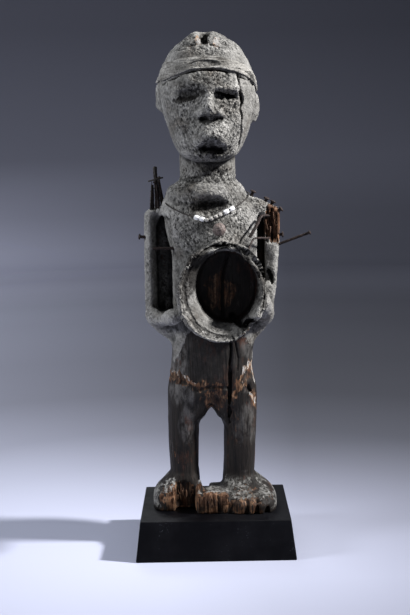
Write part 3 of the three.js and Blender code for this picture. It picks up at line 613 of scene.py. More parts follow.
@dataclass(frozen=True)
class CarvedWood:
    """Clay crust over smoke-black wood, which shows its raw brown where it is worn or broken."""

    clay: tuple = (0.155, 0.151, 0.142)
    clay_pale: tuple = (0.27, 0.264, 0.252)
    clay_brown: tuple = (0.10, 0.091, 0.080)
    black: tuple = (0.0065, 0.0058, 0.0055)
    brown_black: tuple = (0.021, 0.016, 0.013)
    rubbed: tuple = (0.078, 0.030, 0.017)
    scuff: tuple = (0.085, 0.078, 0.074)
    raw_dark: tuple = (0.030, 0.013, 0.006)
    raw: tuple = (0.125, 0.058, 0.029)
    raw_pale: tuple = (0.36, 0.225, 0.135)
    dust: tuple = (0.235, 0.225, 0.215)
    # The colour of painted shade and soot.
    shade_and_soot: tuple = (0.008, 0.0065, 0.0055)
    pale_cold: tuple = (0.36, 0.35, 0.335)
    pale_warm: tuple = (0.40, 0.27, 0.18)

    def clay_tone(self, shade: Shade) -> object:
        """Grey clay: patches, crisp speckle, painted shade in pits and painted highlights on ridges.

        Args:
            shade: the material.
        Returns:
            The socket.
        """
        patches = shade.noise(34, 5, 0.62)
        tone = shade.ramp(patches, (0.3, self.clay_brown), (0.47, self.clay), (0.72, self.clay_pale))
        grain = shade.noise(520, 3, 0.6)
        calm = shade.dimmed(tone, shade.ramp(grain, (0.3, 0.74), (0.5, 1.0), (0.68, 1.2)))
        coarse = shade.dimmed(tone, shade.ramp(grain, (0.3, 0.5), (0.5, 1.02), (0.68, 1.56)))
        slanting = shade.stretched((1, 1, 0.6), (0, 28, 0))
        strokes = shade.ramp(shade.noise(330, 4, 0.66, slanting), (0.375, 0.06), (0.44, 1.0))
        tone = shade.mixed(shade.painted(Paint.CRUMBLY), calm, shade.dimmed(coarse, strokes))
        # Painted shade in pits and painted highlights on ridges.
        relief_shading = shade.ramp(shade.painted(Paint.RELIEF_SHADING), (0.28, 1.4), (0.47, 1.0), (0.66, 0.42), (0.9, 0.08))
        return shade.dimmed(tone, relief_shading)

    def ragged(self, shade: Shade, layer: Paint, upright: float) -> object:
        """One painted layer with a torn edge, finer than the mesh can hold.

        Args:
            shade: the material.
            layer: which layer.
            upright: how far the tears are drawn out upwards, 1 for not at all.
        Returns:
            The socket.
        """
        torn = shade.noise(330, 4, 0.7, shade.stretched((1, 1, upright)))
        tear = shade.times(shade.sum("SUBTRACT", torn, 0.5), 1.5)
        return shade.ramp(shade.plus(shade.painted(layer), tear), (0.42, 0.0), (0.6, 1.0))

    def wood_tone(self, shade: Shade) -> object:
        """Smoke-black wood with upright grain, rubbed brown in places and scuffed pale in others.

        Args:
            shade: the material.
        Returns:
            The socket.
        """
        grain = shade.noise(300, 6, 0.65, shade.stretched((1, 1, 0.12)), 0.6)
        tone = shade.ramp(grain, (0.36, self.black), (0.66, self.brown_black))
        worn = shade.noise(58, 6, 0.75, shade.stretched((1, 1, 0.5)))
        tone = shade.mixed(shade.ramp(worn, (0.55, 0.0), (0.67, 0.8)), tone, self.rubbed)
        scuffed = shade.noise(120, 6, 0.8, shade.stretched((1, 1, 0.55)))
        return shade.mixed(shade.ramp(scuffed, (0.58, 0.0), (0.66, 0.5)), tone, self.scuff)

    def raw_tone(self, shade: Shade) -> object:
        """Bare brown wood with upright fibres, painted shade in its pits and painted highlights on its
        ridges.

        Args:
            shade: the material.
        Returns:
            The socket.
        """
        grain = shade.noise(420, 5, 0.7, shade.stretched((1, 1, 0.06)), 0.4)
        tone = shade.ramp(grain, (0.36, self.raw_dark), (0.5, self.raw), (0.68, self.raw_pale))
        tone = shade.dimmed(tone, shade.ramp(shade.noise(90, 4, 0.65), (0.36, 0.2), (0.6, 1.0)))
        # Painted shade in pits and painted highlights on ridges.
        relief_shading = shade.ramp(shade.painted(Paint.RELIEF_SHADING), (0.36, 1.3), (0.5, 0.95), (0.75, 0.2))
        return shade.dimmed(tone, relief_shading)

    def chips_and_highlights(self, shade: Shade) -> object:
        """The tone of chips and painted highlights: cold on the clay, and partly warm at the hips and on
        the crown.

        Args:
            shade: the material.
        Returns:
            The socket.
        """
        warm = shade.ramp(shade.axis("Z"), (0.19, 1.0), (0.22, 0.0), (0.49, 0.0), (0.5, 1.0))
        warm = shade.times(warm, shade.ramp(shade.noise(150, 4, 0.6), (0.45, 0.0), (0.6, 1.0)))
        return shade.mixed(warm, self.pale_cold, self.pale_warm)

    def shade_and_soot_share(self, shade: Shade) -> object:
        """Where the painted shade and soot show: broken up where they are thin, and whole where they are
        thick.

        Args:
            shade: the material.
        Returns:
            The socket.
        """
        painted = shade.painted(SHADE_AND_SOOT)
        broken = shade.ramp(shade.noise(280, 4, 0.7), (0.36, 1.3), (0.6, 0.4))
        thin = shade.times(painted, broken, keep=True)
        return shade.sum("MAXIMUM", thin, shade.ramp(painted, (0.86, 0.0), (0.97, 1.0)))

    def height(self, shade: Shade, clay: object) -> object:
        """Relief that is finer than the mesh: grit and crumbs in the clay, fibres in the wood.

        Args:
            shade: the material.
            clay: how far the clay covers the wood.
        Returns:
            The socket.
        """
        fine, grit = shade.noise(300, 2, 0.6), shade.noise(720, 2, 0.5)
        rough = shade.plus(shade.times(fine, 1.7), shade.times(grit, 0.6))
        rough = shade.plus(rough, shade.times(shade.cells(330), 0.5))
        rough = shade.times(rough, shade.ramp(shade.painted(Paint.CRUMBLY), (0.0, 0.35), (1.0, 1.0)))
        fibre = shade.noise(520, 3, 0.55, shade.stretched((1, 1, 0.06)), 0.3)
        return shade.mixed(clay, shade.times(fibre, 0.55), rough)

    def material(self) -> bpy.types.Material:
        """Builds the finish: wood, then its wear, the clay over it, chips and painted highlights, and
        painted shade with some soot.

        Returns:
            The material.
        """
        shade = Shade("carved_wood")
        clay = self.ragged(shade, Paint.CLAY, 0.6)
        dusty = shade.noise(150, 5, 0.7, shade.stretched((1, 1, 0.5)))
        dust = shade.times(shade.painted(DUST), shade.ramp(dusty, (0.4, 0.0), (0.62, 1.0)))
        tone = shade.mixed(dust, self.wood_tone(shade), self.dust)
        tone = shade.mixed(self.ragged(shade, RAW, 0.35), tone, self.raw_tone(shade))
        tone = shade.mixed(clay, tone, self.clay_tone(shade))
        tone = shade.mixed(self.ragged(shade, PALE_AND_HIGHLIGHT, 0.3), tone, self.chips_and_highlights(shade))
        # Painted shade, with some soot.
        tone = shade.mixed(self.shade_and_soot_share(shade), tone, self.shade_and_soot)
        # Painted shade: darker where the vertex is closed in.
        occlusion_shade = shade.ramp(shade.painted(Paint.OCCLUSION_SHADE), (0.15, 1.0), (0.5, 0.66), (0.85, 0.3))
        shade.set(Base_Color=shade.dimmed(tone, occlusion_shade), Specular_IOR_Level=0.22)
        shade.set(Roughness=shade.plus(shade.times(clay, 0.28), 0.62, keep=True))
        shade.bump(self.height(shade, clay), 2.0, 1.0)
        return shade.material


@dataclass(frozen=True)
class Hide:
    """A strip of hide, greyed with the same clay and smoother than the crust."""

    dark: tuple = (0.070, 0.065, 0.057)
    pale: tuple = (0.30, 0.29, 0.27)

    def material(self) -> bpy.types.Material:
        """Builds the finish.

        Returns:
            The material.
        """
        shade = Shade("hide")
        patches = shade.noise(60, 5, 0.6, shade.stretched((1, 1, 2.2)))
        tone = shade.ramp(patches, (0.3, self.dark), (0.62, self.pale))
        speckle = shade.ramp(shade.noise(620, 3, 0.6), (0.32, 0.5), (0.5, 1.0), (0.68, 1.4))
        # Painted shade in pits and in the hollow over the brow, painted highlights on ridges, and a
        # darker right end.
        relief_shading = shade.ramp(shade.painted(Paint.RELIEF_SHADING), (0.34, 1.35), (0.5, 1.0), (0.72, 0.2))
        tone = shade.dimmed(shade.dimmed(tone, speckle), relief_shading)
        shade.set(Base_Color=tone, Roughness=0.82, Specular_IOR_Level=0.25)
        creases = shade.noise(330, 3, 0.6, shade.stretched((0.4, 0.4, 1.6)))
        shade.bump(shade.plus(creases, shade.times(shade.noise(700, 2, 0.5), 0.4)), 1.5, 1.0)
        return shade.material


@dataclass(frozen=True)
class Iron:
    """Old iron, pitted and rusted brown."""

    name: str = "rusty_iron"
    dark: tuple = (0.006, 0.0045, 0.0045)
    rust: tuple = (0.022, 0.012, 0.010)
    pale: tuple = (0.072, 0.046, 0.038)
    metal: float = 0.25

    def material(self) -> bpy.types.Material:
        """Builds the finish.

        Returns:
            The material.
        """
        shade = Shade(self.name)
        patches = shade.noise(330, 5, 0.7)
        tone = shade.ramp(patches, (0.32, self.dark), (0.52, self.rust), (0.74, self.pale))
        shade.set(Base_Color=tone, Metallic=self.metal)
        shade.set(Roughness=shade.ramp(shade.noise(700, 3), (0.35, 0.55), (0.65, 0.92)))
        shade.bump(shade.noise(1300, 5, 0.75), 0.3, 0.9)
        return shade.material


@dataclass(frozen=True)
class Stuff:
    """A plain small thing: two tones, speckle and a little relief."""

    name: str
    dark: tuple
    pale: tuple
    roughness: float
    scale: float = 500
    relief: float = 0.2
    stretch: tuple = (1, 1, 1)

    def material(self) -> bpy.types.Material:
        """Builds the finish.

        Returns:
            The material.
        """
        shade = Shade(self.name)
        along = shade.stretched(self.stretch)
        tone = shade.ramp(shade.noise(self.scale, 5, 0.68, along), (0.34, self.dark), (0.62, self.pale))
        shade.set(Base_Color=tone, Roughness=self.roughness)
        shade.bump(shade.noise(self.scale * 2.4, 4, 0.7, along), self.relief, 0.7)
        return shade.material


@dataclass(frozen=True)
class PlinthPaint:
    """Satin black paint with a little dust and faint brush marks."""

    black: tuple = (0.0012, 0.0012, 0.002)
    dust: tuple = (0.075, 0.078, 0.09)

    def material(self) -> bpy.types.Material:
        """Builds the finish.

        Returns:
            The material.
        """
        shade = Shade("black_paint")
        motes = shade.ramp(shade.cells(420), (0.12, 1.0), (0.2, 0.0))
        few = shade.ramp(shade.noise(30, 5, 0.75), (0.53, 0.0), (0.62, 0.8))
        veil = shade.ramp(shade.noise(14, 5, 0.7), (0.45, 0.0), (0.8, 0.08))
        tone = shade.mixed(shade.times(motes, few), self.black, self.dust)
        tone = shade.mixed(veil, tone, self.dust)
        shade.set(Base_Color=tone, Specular_IOR_Level=0.09)
        shade.set(Roughness=shade.ramp(shade.noise(26, 5, 0.65), (0.3, 0.42), (0.7, 0.58)))
        shade.bump(shade.noise(480, 4, 0.6, shade.stretched((0.15, 1, 1))), 0.05, 0.5)
        return shade.material


@dataclass(frozen=True)
class SweepPaper:
    """The pale floor: a painted pool of light that falls off, darker and bluer towards the back and to
    one side.
    """

    tint: tuple = (0.955, 1.0, 1.26)
    # A painted pool of light: greys by the distance from the object, as a share of the reach in metres.
    reach: float = 4.0
    light_pool: tuple = (
        (0.03, 0.61), (0.085, 0.385), (0.13, 0.24), (0.2, 0.17), (0.29, 0.19),
        (0.43, 0.268), (0.525, 0.37), (0.557, 0.443), (0.595, 0.55), (0.635, 0.7), (0.681, 0.85),
        (0.7325, 1.0), (0.785, 1.12), (0.84, 1.03), (0.93, 0.715), (1.0, 0.65),
    )
    # How the greys fall from left to right as the camera sees them, near, behind and on the wall:
    # painted falloff of light.
    eye_depth: float = 1.35
    field: float = 2.6
    near: tuple = ((0.05, 0.9), (0.95, 0.5))
    distant: tuple = ((0.05, 1.0), (0.283, 0.7), (0.5, 0.44), (0.67, 0.265), (0.95, 0.22))
    upper: tuple = ((0.05, 0.45), (0.5, 0.4), (0.95, 0.335))

    def material(self) -> bpy.types.Material:
        """Builds the finish: painted light in rings round the object, times a painted fall from one side
        to the other.

        Returns:
            The material.
        """
        shade = Shade("sweep_paper")
        x, y, z = (shade.axis(name) for name in "XYZ")
        squares = [shade.sum("POWER", across, 2.0) for across in (x, y)]
        gone = shade.sum("POWER", shade.plus(*squares), 0.5)
        light_pool = [(at, tuple(grey * part for part in self.tint)) for at, grey in self.light_pool]
        tone = shade.ramp(shade.times(gone, 1 / self.reach), *light_pool)
        away = shade.sum("MAXIMUM", shade.plus(y, self.eye_depth), 0.5)
        aside = shade.plus(shade.times(shade.sum("DIVIDE", x, away), self.field), 0.5)
        near, distant, upper = (
            shade.ramp(aside, *stops) for stops in (self.near, self.distant, self.upper)
        )
        behind = shade.ramp(shade.plus(y, 0.15), (0.03, 0.0), (0.3, 0.6), (0.58, 1.0))
        risen = shade.ramp(z, (0.05, 0.0), (0.4, 1.0))
        fall = shade.mixed(risen, shade.mixed(behind, near, distant), upper)
        # Painted shade: darker higher up the wall.
        high = shade.ramp(z, (0.3, 1.0), (0.95, 0.6))
        tone = shade.dimmed(shade.dimmed(tone, fall), high)
        shade.set(Base_Color=tone, Roughness=0.85, Specular_IOR_Level=0.2)
        shade.bump(shade.noise(900, 3), 0.05, 0.3)
        return shade.material


@dataclass
class Studio:
    """The camera, the lights and the floor, in metres, with the lens and its sensor in mm."""

    eye: tuple = (-0.00487, -1.21399, 0.3968)
    right: tuple = (0.999824789, -0.000765704, -0.0187030944)
    up: tuple = (0.01865375, 0.12395529, 0.99211245)
    forward: tuple = (-0.00155868, 0.99228751, -0.12394786)
    lens: float = 70.01
    sensor: float = 36.0
    floor_radius: float = 3.2
    bend: float = 0.9
    wall: float = 3.4
    bend_steps: int = 12
    turn_steps: int = 72
    room: tuple = (0.42, 0.46, 0.58, 1)
    room_light: float = 0.035
    # Name, place, size, power, colour and what it points at.
    lamps: tuple = (
        ("key", (1.34, -0.27, 1.38), 0.14, 76, (1.0, 0.99, 0.985), (0, 0, 0.3)),
        ("left", (-1.45, -0.4, 0.95), 0.45, 19, (0.94, 0.965, 1.0), (0, 0, 0.3)),
        ("front", (0.2, -1.7, 1.1), 0.8, 1.5, (0.95, 0.97, 1.0), (0, 0, 0.3)),
        ("back", (-0.5, 1.7, 1.5), 0.9, 13, (0.93, 0.96, 1.0), (0, 0, 0.3)),
        ("floor_wash", (0.0, -0.1, 2.6), 1.0, 7, (0.86, 0.9, 1.0), (0, 0.1, 0)),
    )

    def camera(self) -> None:
        """Puts the camera where the photograph was taken from."""
        data = bpy.data.cameras.new("camera")
        data.sensor_fit = "VERTICAL"
        data.sensor_height = self.sensor
        data.lens = self.lens
        data.clip_start, data.clip_end = 0.05, 30
        eye = bpy.data.objects.new("camera", data)
        bpy.context.scene.collection.objects.link(eye)
        columns = [Vector(self.right), Vector(self.up), -Vector(self.forward)]
        turn = Matrix(columns).transposed()
        eye.matrix_world = Matrix.Translation(self.eye) @ turn.to_4x4()
        bpy.context.scene.camera = eye

    def lamp(self, name: str, place: tuple, size: float, power: float, tone: tuple, at: tuple) -> None:
        """Adds one soft box.

        Args:
            name: the lamp's name.
            place: where it stands, in metres.
            size: its side in metres.
            power: its power in watts.
            tone: its colour.
            at: what it points at.
        """
        data = bpy.data.lights.new(name, "AREA")
        data.size, data.energy, data.color = size, power, tone
        lamp = bpy.data.objects.new(name, data)
        bpy.context.scene.collection.objects.link(lamp)
        lamp.location = place
        lamp.rotation_euler = (Vector(place) - Vector(at)).to_track_quat("Z", "Y").to_euler()

    def lights(self) -> None:
        """A hard key level with the figure on the right, weaker lights round it, and a dim room."""
        for row in self.lamps:
            self.lamp(*row)
        world = bpy.data.worlds.new("room")
        world.use_nodes = True
        background = world.node_tree.nodes["Background"]
        background.inputs["Color"].default_value = self.room
        background.inputs["Strength"].default_value = self.room_light
        bpy.context.scene.world = world
        bpy.context.scene.view_settings.view_transform = "Standard"

    def floor(self) -> None:
        """One sheet of paper: a round floor that bends up into a wall all round."""
        bm = bmesh.new()
        rows = [(0.0, 0.0), (0.5 * self.floor_radius, 0.0), (self.floor_radius, 0.0)]
        for i in range(1, self.bend_steps + 1):
            a = math.pi / 2 * i / self.bend_steps
            rows.append((self.floor_radius + self.bend * math.sin(a), self.bend * (1 - math.cos(a))))
        rows.append((self.floor_radius + self.bend, self.wall))
        verts = [bm.verts.new((0, r, z)) for r, z in rows]
        edges = [bm.edges.new(pair) for pair in zip(verts[:-1], verts[1:])]
        bmesh.ops.spin(
            bm,
            geom=[*verts, *edges],
            cent=(0, 0, 0),
            axis=(0, 0, 1),
            angle=2 * math.pi,
            steps=self.turn_steps,
            use_merge=True,
        )
        bmesh.ops.remove_doubles(bm, verts=bm.verts, dist=1e-5)
        bmesh.ops.recalc_face_normals(bm, faces=bm.faces)
        if bm.faces[0].normal.z < 0:
            bmesh.ops.reverse_faces(bm, faces=bm.faces)
        sweep = new_piece("sweep", bm)
        for polygon in sweep.data.polygons:
            polygon.use_smooth = True
        sweep.data.materials.append(SweepPaper().material())

    def build(self) -> None:
        """Builds all of it."""
        self.camera()
        self.lights()
        self.floor()


@dataclass(frozen=True)
class Patch:
    """A place where one kind of paint shows, with a broken edge."""

    layer: Paint
    middle: tuple
    reach: tuple
    strength: float = 1.0

    def over(self, points: np.ndarray, wander: np.ndarray) -> np.ndarray:
        """How strongly it shows at places in mm, with noise that breaks its edge."""
        away = np.linalg.norm((points - self.middle) / self.reach, axis=1)
        return self.strength * eased(1 - away + 0.42 * wander, 0.0, 0.28)


@dataclass(frozen=True)
class Trail:
    """A painted line on the front: rows of x, z and width in mm, with a broken edge."""

    layer: Paint
    line: tuple
    strength: float = 1.0

    def over(self, points: np.ndarray, wander: np.ndarray) -> np.ndarray:
        """How strongly it shows.

        Args:
            points: places in mm.
            wander: noise at each place, which breaks its edge.
        Returns:
            Values from 0 to 1.
        """
        line = np.array([(x, 0, z, width) for x, z, width in self.line], dtype=float)
        away, width = off_line(points * (1, 0, 1), line)
        there = 1 - 2 * away / np.maximum(width, 0.5) + 1.2 * wander
        return self.strength * eased(there, 0.0, 0.5) * eased(-points[:, 1], -2, 4)


@dataclass(frozen=True)
class Groove:
    """A line pressed in, or raised where the depth is below 0: rows of x, z and width from the front."""

    depth: float
    line: tuple
    soft: float = 1.25

    def over(self, skin: Skin) -> np.ndarray:
        """How deep it is at each vertex."""
        away, width = off_line(skin.points, skin.front(self.line))
        return self.depth * (1 - eased(away / np.maximum(width / 2, 0.3), 0.2, self.soft))


@dataclass(frozen=True)
class Dent:
    """A soft press or pull of the surface: its middle, its reach and the move in mm."""

    middle: tuple
    reach: tuple
    move: tuple

    def over(self, points: np.ndarray) -> np.ndarray:
        """The move at each place."""
        away = (((points - self.middle) / self.reach) ** 2).sum(axis=1)
        return np.clip(1 - away, 0, 1)[:, None] ** 2 * np.array(self.move)


@dataclass(frozen=True)
class Bowl:
    """The bowl in the belly: its outer rim and its dark mouth, as ellipses seen from the front, in mm."""

    rim: tuple = (10.0, 267.4)
    rim_reach: tuple = (44.5, 49.6)
    mouth: tuple = (14.6, 271.0)
    mouth_reach: tuple = (32.8, 38.8)
    floor: float = -37.0
    brow: float = -66.0
    # The crevice between lip and rim: its depth, the turns in degrees where it breaks off and
    # starts again, the turn where it is deepest, and where it starts and ends to get thin.
    crevice: float = 6.5
    crevice_ends: tuple = ((118, 132), (168, 178))
    crevice_top: float = 35.0
    crevice_thins: tuple = (30, 80)
    slope_turn: float = 240.0
    slope_foot: float = -59.0
    crest: float = -72.0

    def share(self, points: np.ndarray) -> tuple[np.ndarray, np.ndarray]:
        """Where each point lies between mouth and rim.

        Args:
            points: places in mm.
        Returns:
            The share of the mouth's radius, and 0 at the mouth's edge to 1 at the rim.
        """
        flat = points[:, (0, 2)]
        inner = np.linalg.norm((flat - self.mouth) / self.mouth_reach, axis=1)
        outer = np.linalg.norm((flat - self.rim) / self.rim_reach, axis=1)
        gone = inner - 1
        return inner, gone / np.maximum(gone + (1 - outer), 1e-6)

    def sloping(self, points: np.ndarray) -> np.ndarray:
        """How broadly the wall slopes at each place: fully on the left and below.

        Args:
            points: the places in mm.
        Returns:
            A share from 0 to 1 for each place.
        """
        x, z = points[:, 0] - self.mouth[0], points[:, 2] - self.mouth[1]
        turn = np.arctan2(x, z) - math.radians(self.slope_turn)
        return eased(0.5 + 0.5 * np.cos(turn), 0.36, 0.76)

    def hollow(self, skin: Skin) -> None:
        """Shapes the mouth: a steep wall at the right, and a broad slope from the crest at the left.

        Args:
            skin: the figure.
        """
        inner, t = self.share(skin.points)
        y = skin.points[:, 1]
        bent = inner + 0.02 * soft_noise(skin.points, 9, 61, 2)
        steep = self.floor + (self.brow - self.floor) * eased(bent, 0.84, 1.03)
        sunk = np.where((inner < 1.03) & (y < self.floor), np.maximum(y, steep), y)
        out = np.where(inner < 1, bent, 1 + np.clip(t, 0, 2))
        foot = (self.slope_foot - self.floor) * eased(out, 0.8, 1.0)
        climb = np.clip((out - 0.98) / 0.82, 0, 1)
        slope = self.floor + foot + (self.crest - self.slope_foot) * climb
        broad = self.sloping(skin.points) * (out < 1.8) * (y < self.floor + 2)
        skin.points[:, 1] = sunk + broad * (slope - sunk)

    def ring(self, skin: Skin) -> np.ndarray:
        """How deep the broken crevice between the inner lip and the outer rim is at each vertex.

        Args:
            skin: the figure.
        Returns:
            The depth in mm at each vertex.
        """
        _, t = self.share(skin.points)
        x, y, z = skin.points.T
        turn = np.degrees(np.arctan2(x - self.rim[0], z - self.rim[1]))
        stop, start = self.crevice_ends
        there = 1 - eased(turn, *stop) * (1 - eased(turn, *start))
        wander = soft_noise(skin.points, 7, 67, 3)
        middle = 0.6 + 0.12 * wander
        upper = 1 - eased(np.abs(turn - self.crevice_top), *self.crevice_thins)
        shape = 1 - eased(np.abs(t - middle), 0.05, 0.17 + 0.12 * upper + 0.06 * wander)
        depth = self.crevice * shape * there * eased(-y, 54, 61)
        return depth * (0.25 + 0.75 * upper) * (1 + 0.5 * wander)


@dataclass(frozen=True)
class Gap:
    """An upright gap beside an arm, where the clay is thin, in mm."""

    # Its middle's x and z, then where it starts to fade and ends in x, in z and towards the front.
    middle: tuple
    wide: tuple
    tall: tuple
    back: tuple
    bare: float

    def over(self, points: np.ndarray) -> np.ndarray:
        """How much of the clay is left at each place.

        Args:
            points: the places in mm.
        Returns:
            A share from 0 to 1 for each place.
        """
        x, y, z = points.T
        wide = 1 - eased(np.abs(x - self.middle[0]), *self.wide)
        tall = 1 - eased(np.abs(z - self.middle[1]), *self.tall)
        return 1 - self.bare * (eased(y, *self.back) * wide * tall) * (y < 20)


@dataclass
class Carving:
    """The carved figure: one skin over the CAD solid, with its crust, grain, cracks and wear, in mm."""

    voxel: float = 1.15
    coarser: float = 0.15
    triangles: int = 190000
    stand: float = 40.0
    # The height where the crust ends, and how much it rises, wanders and calms down in front.
    crust_edge: float = 200.0
    front_rise: float = 24.0
    edge_wander: float = 30.0
    front_calm: float = 14.0
    # The most clay that shows on the feet, and the heights of the crust's own forms.
    foot_clay: float = 0.56
    lumps: float = 0.6
    crumbs: float = 2.7
    pit_depth: float = 1.6
    head_foot: float = 396.0
    rays: int = 12
    shade_reach: float = 34
    bowl: Bowl = Bowl()
    skin: Skin | None = None
    gaps: tuple = (
        Gap((-46.5, 293), (8.2, 9.4), (48, 54), (-6, 2), 0.4),
        Gap((52, 300), (7, 9), (44, 50), (-8, 1), 0.9),
    )
    # How the strokes in the crust lean.
    lean: tuple = ((0.64, 0, -0.77), (0, 1, 0), (0.77, 0, 0.64))
    # Places whose forms are softened first: middle, reach and how many times.
    melted: tuple = (
        ((-14, -52, 446), (12, 16, 14), 55),
        ((18, -52, 445), (12, 16, 14), 55),
        ((3, -52, 420), (28, 18, 13), 110),
        ((2, -58, 436), (16, 14, 8), 10),
        ((48, -6, 436), (10, 22, 14), 50),
        ((-48, -6, 440), (10, 22, 16), 40),
        ((20, -48, 456), (18, 14, 8), 16),
        ((-18, -48, 458), (22, 14, 13), 45),
        ((-57, -8, 294), (9, 16, 54), 40),
    )
    # Soft forms that are finer than the CAD model: middle, reach and move.
    dents: tuple = (
        # The arch between the legs and the shoulders.
        ((-2.4, -10, 139), (8, 60, 12), (0, 0, 7)),
        ((-54, -2, 346), (9, 22, 12), (4.5, 0, -3)),
        ((61, -12, 330), (9, 9, 21), (0, 8, 0)),
        # Eyes and brows.
        ((20, -48, 455), (15, 16, 5), (0, 4.5, 0)),
        ((19, -50, 463.5), (17, 16, 5), (0, -4, -1)),
        ((-16, -48, 459), (22, 16, 10), (0, 4.6, 0)),
        ((-27, -44, 464), (13, 16, 5), (0, -1.5, -1)),
        # Nose.
        ((1, -58, 444), (9, 16, 18), (0, -3, 0)),
        ((-7, -56, 439.5), (8, 14, 6), (0, -3.4, 0)),
        ((10.5, -56, 439), (8, 14, 6), (0, -3.4, 0)),
        ((-4, -56, 433.6), (7, 14, 4.4), (0, 4, 1)),
        ((9.5, -56, 434), (7, 14, 4.4), (0, 4, 1)),
        ((3, -54, 432), (16, 14, 4), (0, 2, 0)),
        # Muzzle and mouth.
        ((3, -52, 417), (20, 18, 13), (0, -9.5, 0)),
        ((12, -50, 411), (11, 18, 6), (0, -4, 0)),
        ((-9, -50, 412), (9, 18, 6), (0, -3.4, 0)),
        ((-20, -48, 422), (8, 16, 10), (0, 3, 0)),
        ((27, -46, 421), (8, 16, 10), (0, 3, 0)),
        ((-4, -48, 406), (8, 22, 6), (0, 8, 0)),
        ((3.4, -48, 409), (6, 22, 7), (0, 7, 0)),
        ((10, -48, 404), (9, 22, 6.6), (0, 8.5, 0)),
        ((4, -46, 398), (9, 22, 6), (0, 5, 0)),
        # Neck and chest.
        ((1, -44, 350), (25, 26, 11), (0, 10, 2)),
        ((2, -46, 362), (26, 22, 8), (0, -3, 0)),
        ((3, -38, 327), (20, 18, 9), (0, 2.5, 0)),
        # Right arm and the bowl's rim.
        ((57, -14, 292), (9, 14, 20), (0, 3.4, 0)),
        ((50, -70, 264), (12, 24, 28), (0, 7.5, 0)),
        ((36, -68, 235), (13, 22, 9), (0, 8, 0)),
        # Left arm.
        ((-39, -4, 340), (14, 18, 46), (-7, 0, 0)),
        ((-58, -8, 340), (9, 16, 15), (4, 0, 0)),
        ((-44, 6, 247), (14, 16, 13), (0, -5, 0)),
        # Crown and ear.
        ((6, -16, 512), (7, 40, 11), (-3.2, 0, 0)),
        ((-15, -24, 506), (12, 12, 3.2), (0, 3, -2)),
        ((51, -6, 434), (7, 24, 8), (-3, 0, 0)),
        # Hips, and the top of the shoulder.
        ((38, -24, 164), (6, 16, 7), (-2, 5, 0)),
        ((4, -22, 155), (12, 20, 13), (0, 2.5, 0)),
        ((-45, 0, 348), (8, 30, 10), (0, 0, -5)),
    )
    # Lines that are finer than the CAD model: depth, rows of x, z and width, and a softness.
    grooves: tuple = (
        # Eyes.
        (3.4, ((8, 458.4, 3), (14, 457.4, 4.4), (22, 455.4, 4.6), (31, 452.4, 4))),
        (1.3, ((-29, 454, 4), (-23, 453.4, 6.4), (-16, 454.6, 6), (-9, 456.6, 4))),
        # The bowl's upper edge.
        (2.5, ((4, 308, 5), (12.6, 309.6, 8), (20, 307, 8), (28, 302, 8), (35, 295.6, 7), (41, 287, 6)),
            1.1),
        (-1.2, ((-31, 262, 2.2), (-29, 278, 3), (-20, 295, 3), (-7, 306.5, 2.4), (3, 312, 2.6))),
        # Hips.
        (1.2, ((-46, 177, 7), (-30, 172, 6), (-14, 164, 6), (-3, 168, 5), (14, 166, 5))),
        (1.8, ((22, 158, 5), (27, 168, 6), (33, 178, 6), (37, 188, 4))),
        (1.4, ((40, 158, 5), (43, 149, 4))),
        # Necklace and crown.
        (0.8, ((-24, 377, 2.4), (-14, 378.4, 5), (-4, 380, 3), (5, 380.6, 5), (14, 383, 4),
            (22, 385.6, 2.4))),
        (2.6, ((-27, 501, 2.2), (-19, 503.6, 3), (-11, 506, 3.4), (-4, 507, 4.4), (4, 505.6, 3.4),
            (12, 503, 2.4))),
    )
    # The deep seasoning cracks and gaps, in the same form; they are painted dark inside as shade.
    cracks: tuple = (
        # Face and headband.
        (6, ((29, 481, 3), (29.6, 474, 3.2), (30.8, 467, 2.6), (31.6, 460, 4.8), (32.6, 451, 4.6),
            (31, 444, 2.4), (32.8, 436, 2.6), (31.4, 428, 2.2), (32.2, 420, 2.4), (30.2, 413, 2.2),
            (29.6, 408, 2.2), (26, 401, 2))),
        (3.2, ((-44, 469, 2.6), (-32.5, 473.4, 2.8), (-15, 479.4, 3), (-1, 481, 3), (15, 479.6, 3),
            (33, 473.4, 2.8), (44, 467.4, 2.6)), 1.1),
        # Belly and leg, and the bowl's floor.
        (6.0, ((20.6, 222, 2), (18.6, 212, 2.2), (18.4, 203, 2.4), (17.4, 190, 2.6), (17.2, 178, 3.2),
            (16.6, 166, 3.8), (16.4, 152, 3.2), (15.8, 142, 2.6), (15.8, 128, 2.2))),
        (4.0, ((17.8, 304, 2.6), (15, 296, 2.6), (11.5, 285, 3), (10.8, 270, 3), (10.4, 252, 3),
            (11, 240, 2.6))),
        # Broken shoulder.
        (6, ((57.2, 346, 2.6), (58.4, 332, 4), (57.2, 313, 3)), 1.1),
        (6, ((62, 345, 2.2), (61.4, 334, 3), (62.6, 322, 3.4), (61.4, 312, 2.4)), 1.1),
        (4.5, ((65.8, 342, 1.8), (66.4, 330, 2.6), (65.2, 316, 2)), 1.1),
        # Round the bowl.
        (8, ((3, 311, 4), (12, 314.6, 7.5), (20, 312, 7.5), (28, 306.6, 8), (35, 299.6, 7),
            (41, 292, 6), (46.6, 281, 4.4)), 1.1),
        (6, ((57, 283, 7), (60.5, 276, 5), (62, 270, 2.4)), 1.1),
        (5, ((20, 241, 7), (28, 236, 12), (36, 235, 11), (44, 239, 6)), 1.1),
        # Hip and belly.
        (3.6, ((35.6, 166, 4), (37.6, 161.5, 4.6)), 1.1),
        (2.4, ((23, 213, 2), (26, 196, 1.6), (25, 183, 1.6)), 1.1),
    )
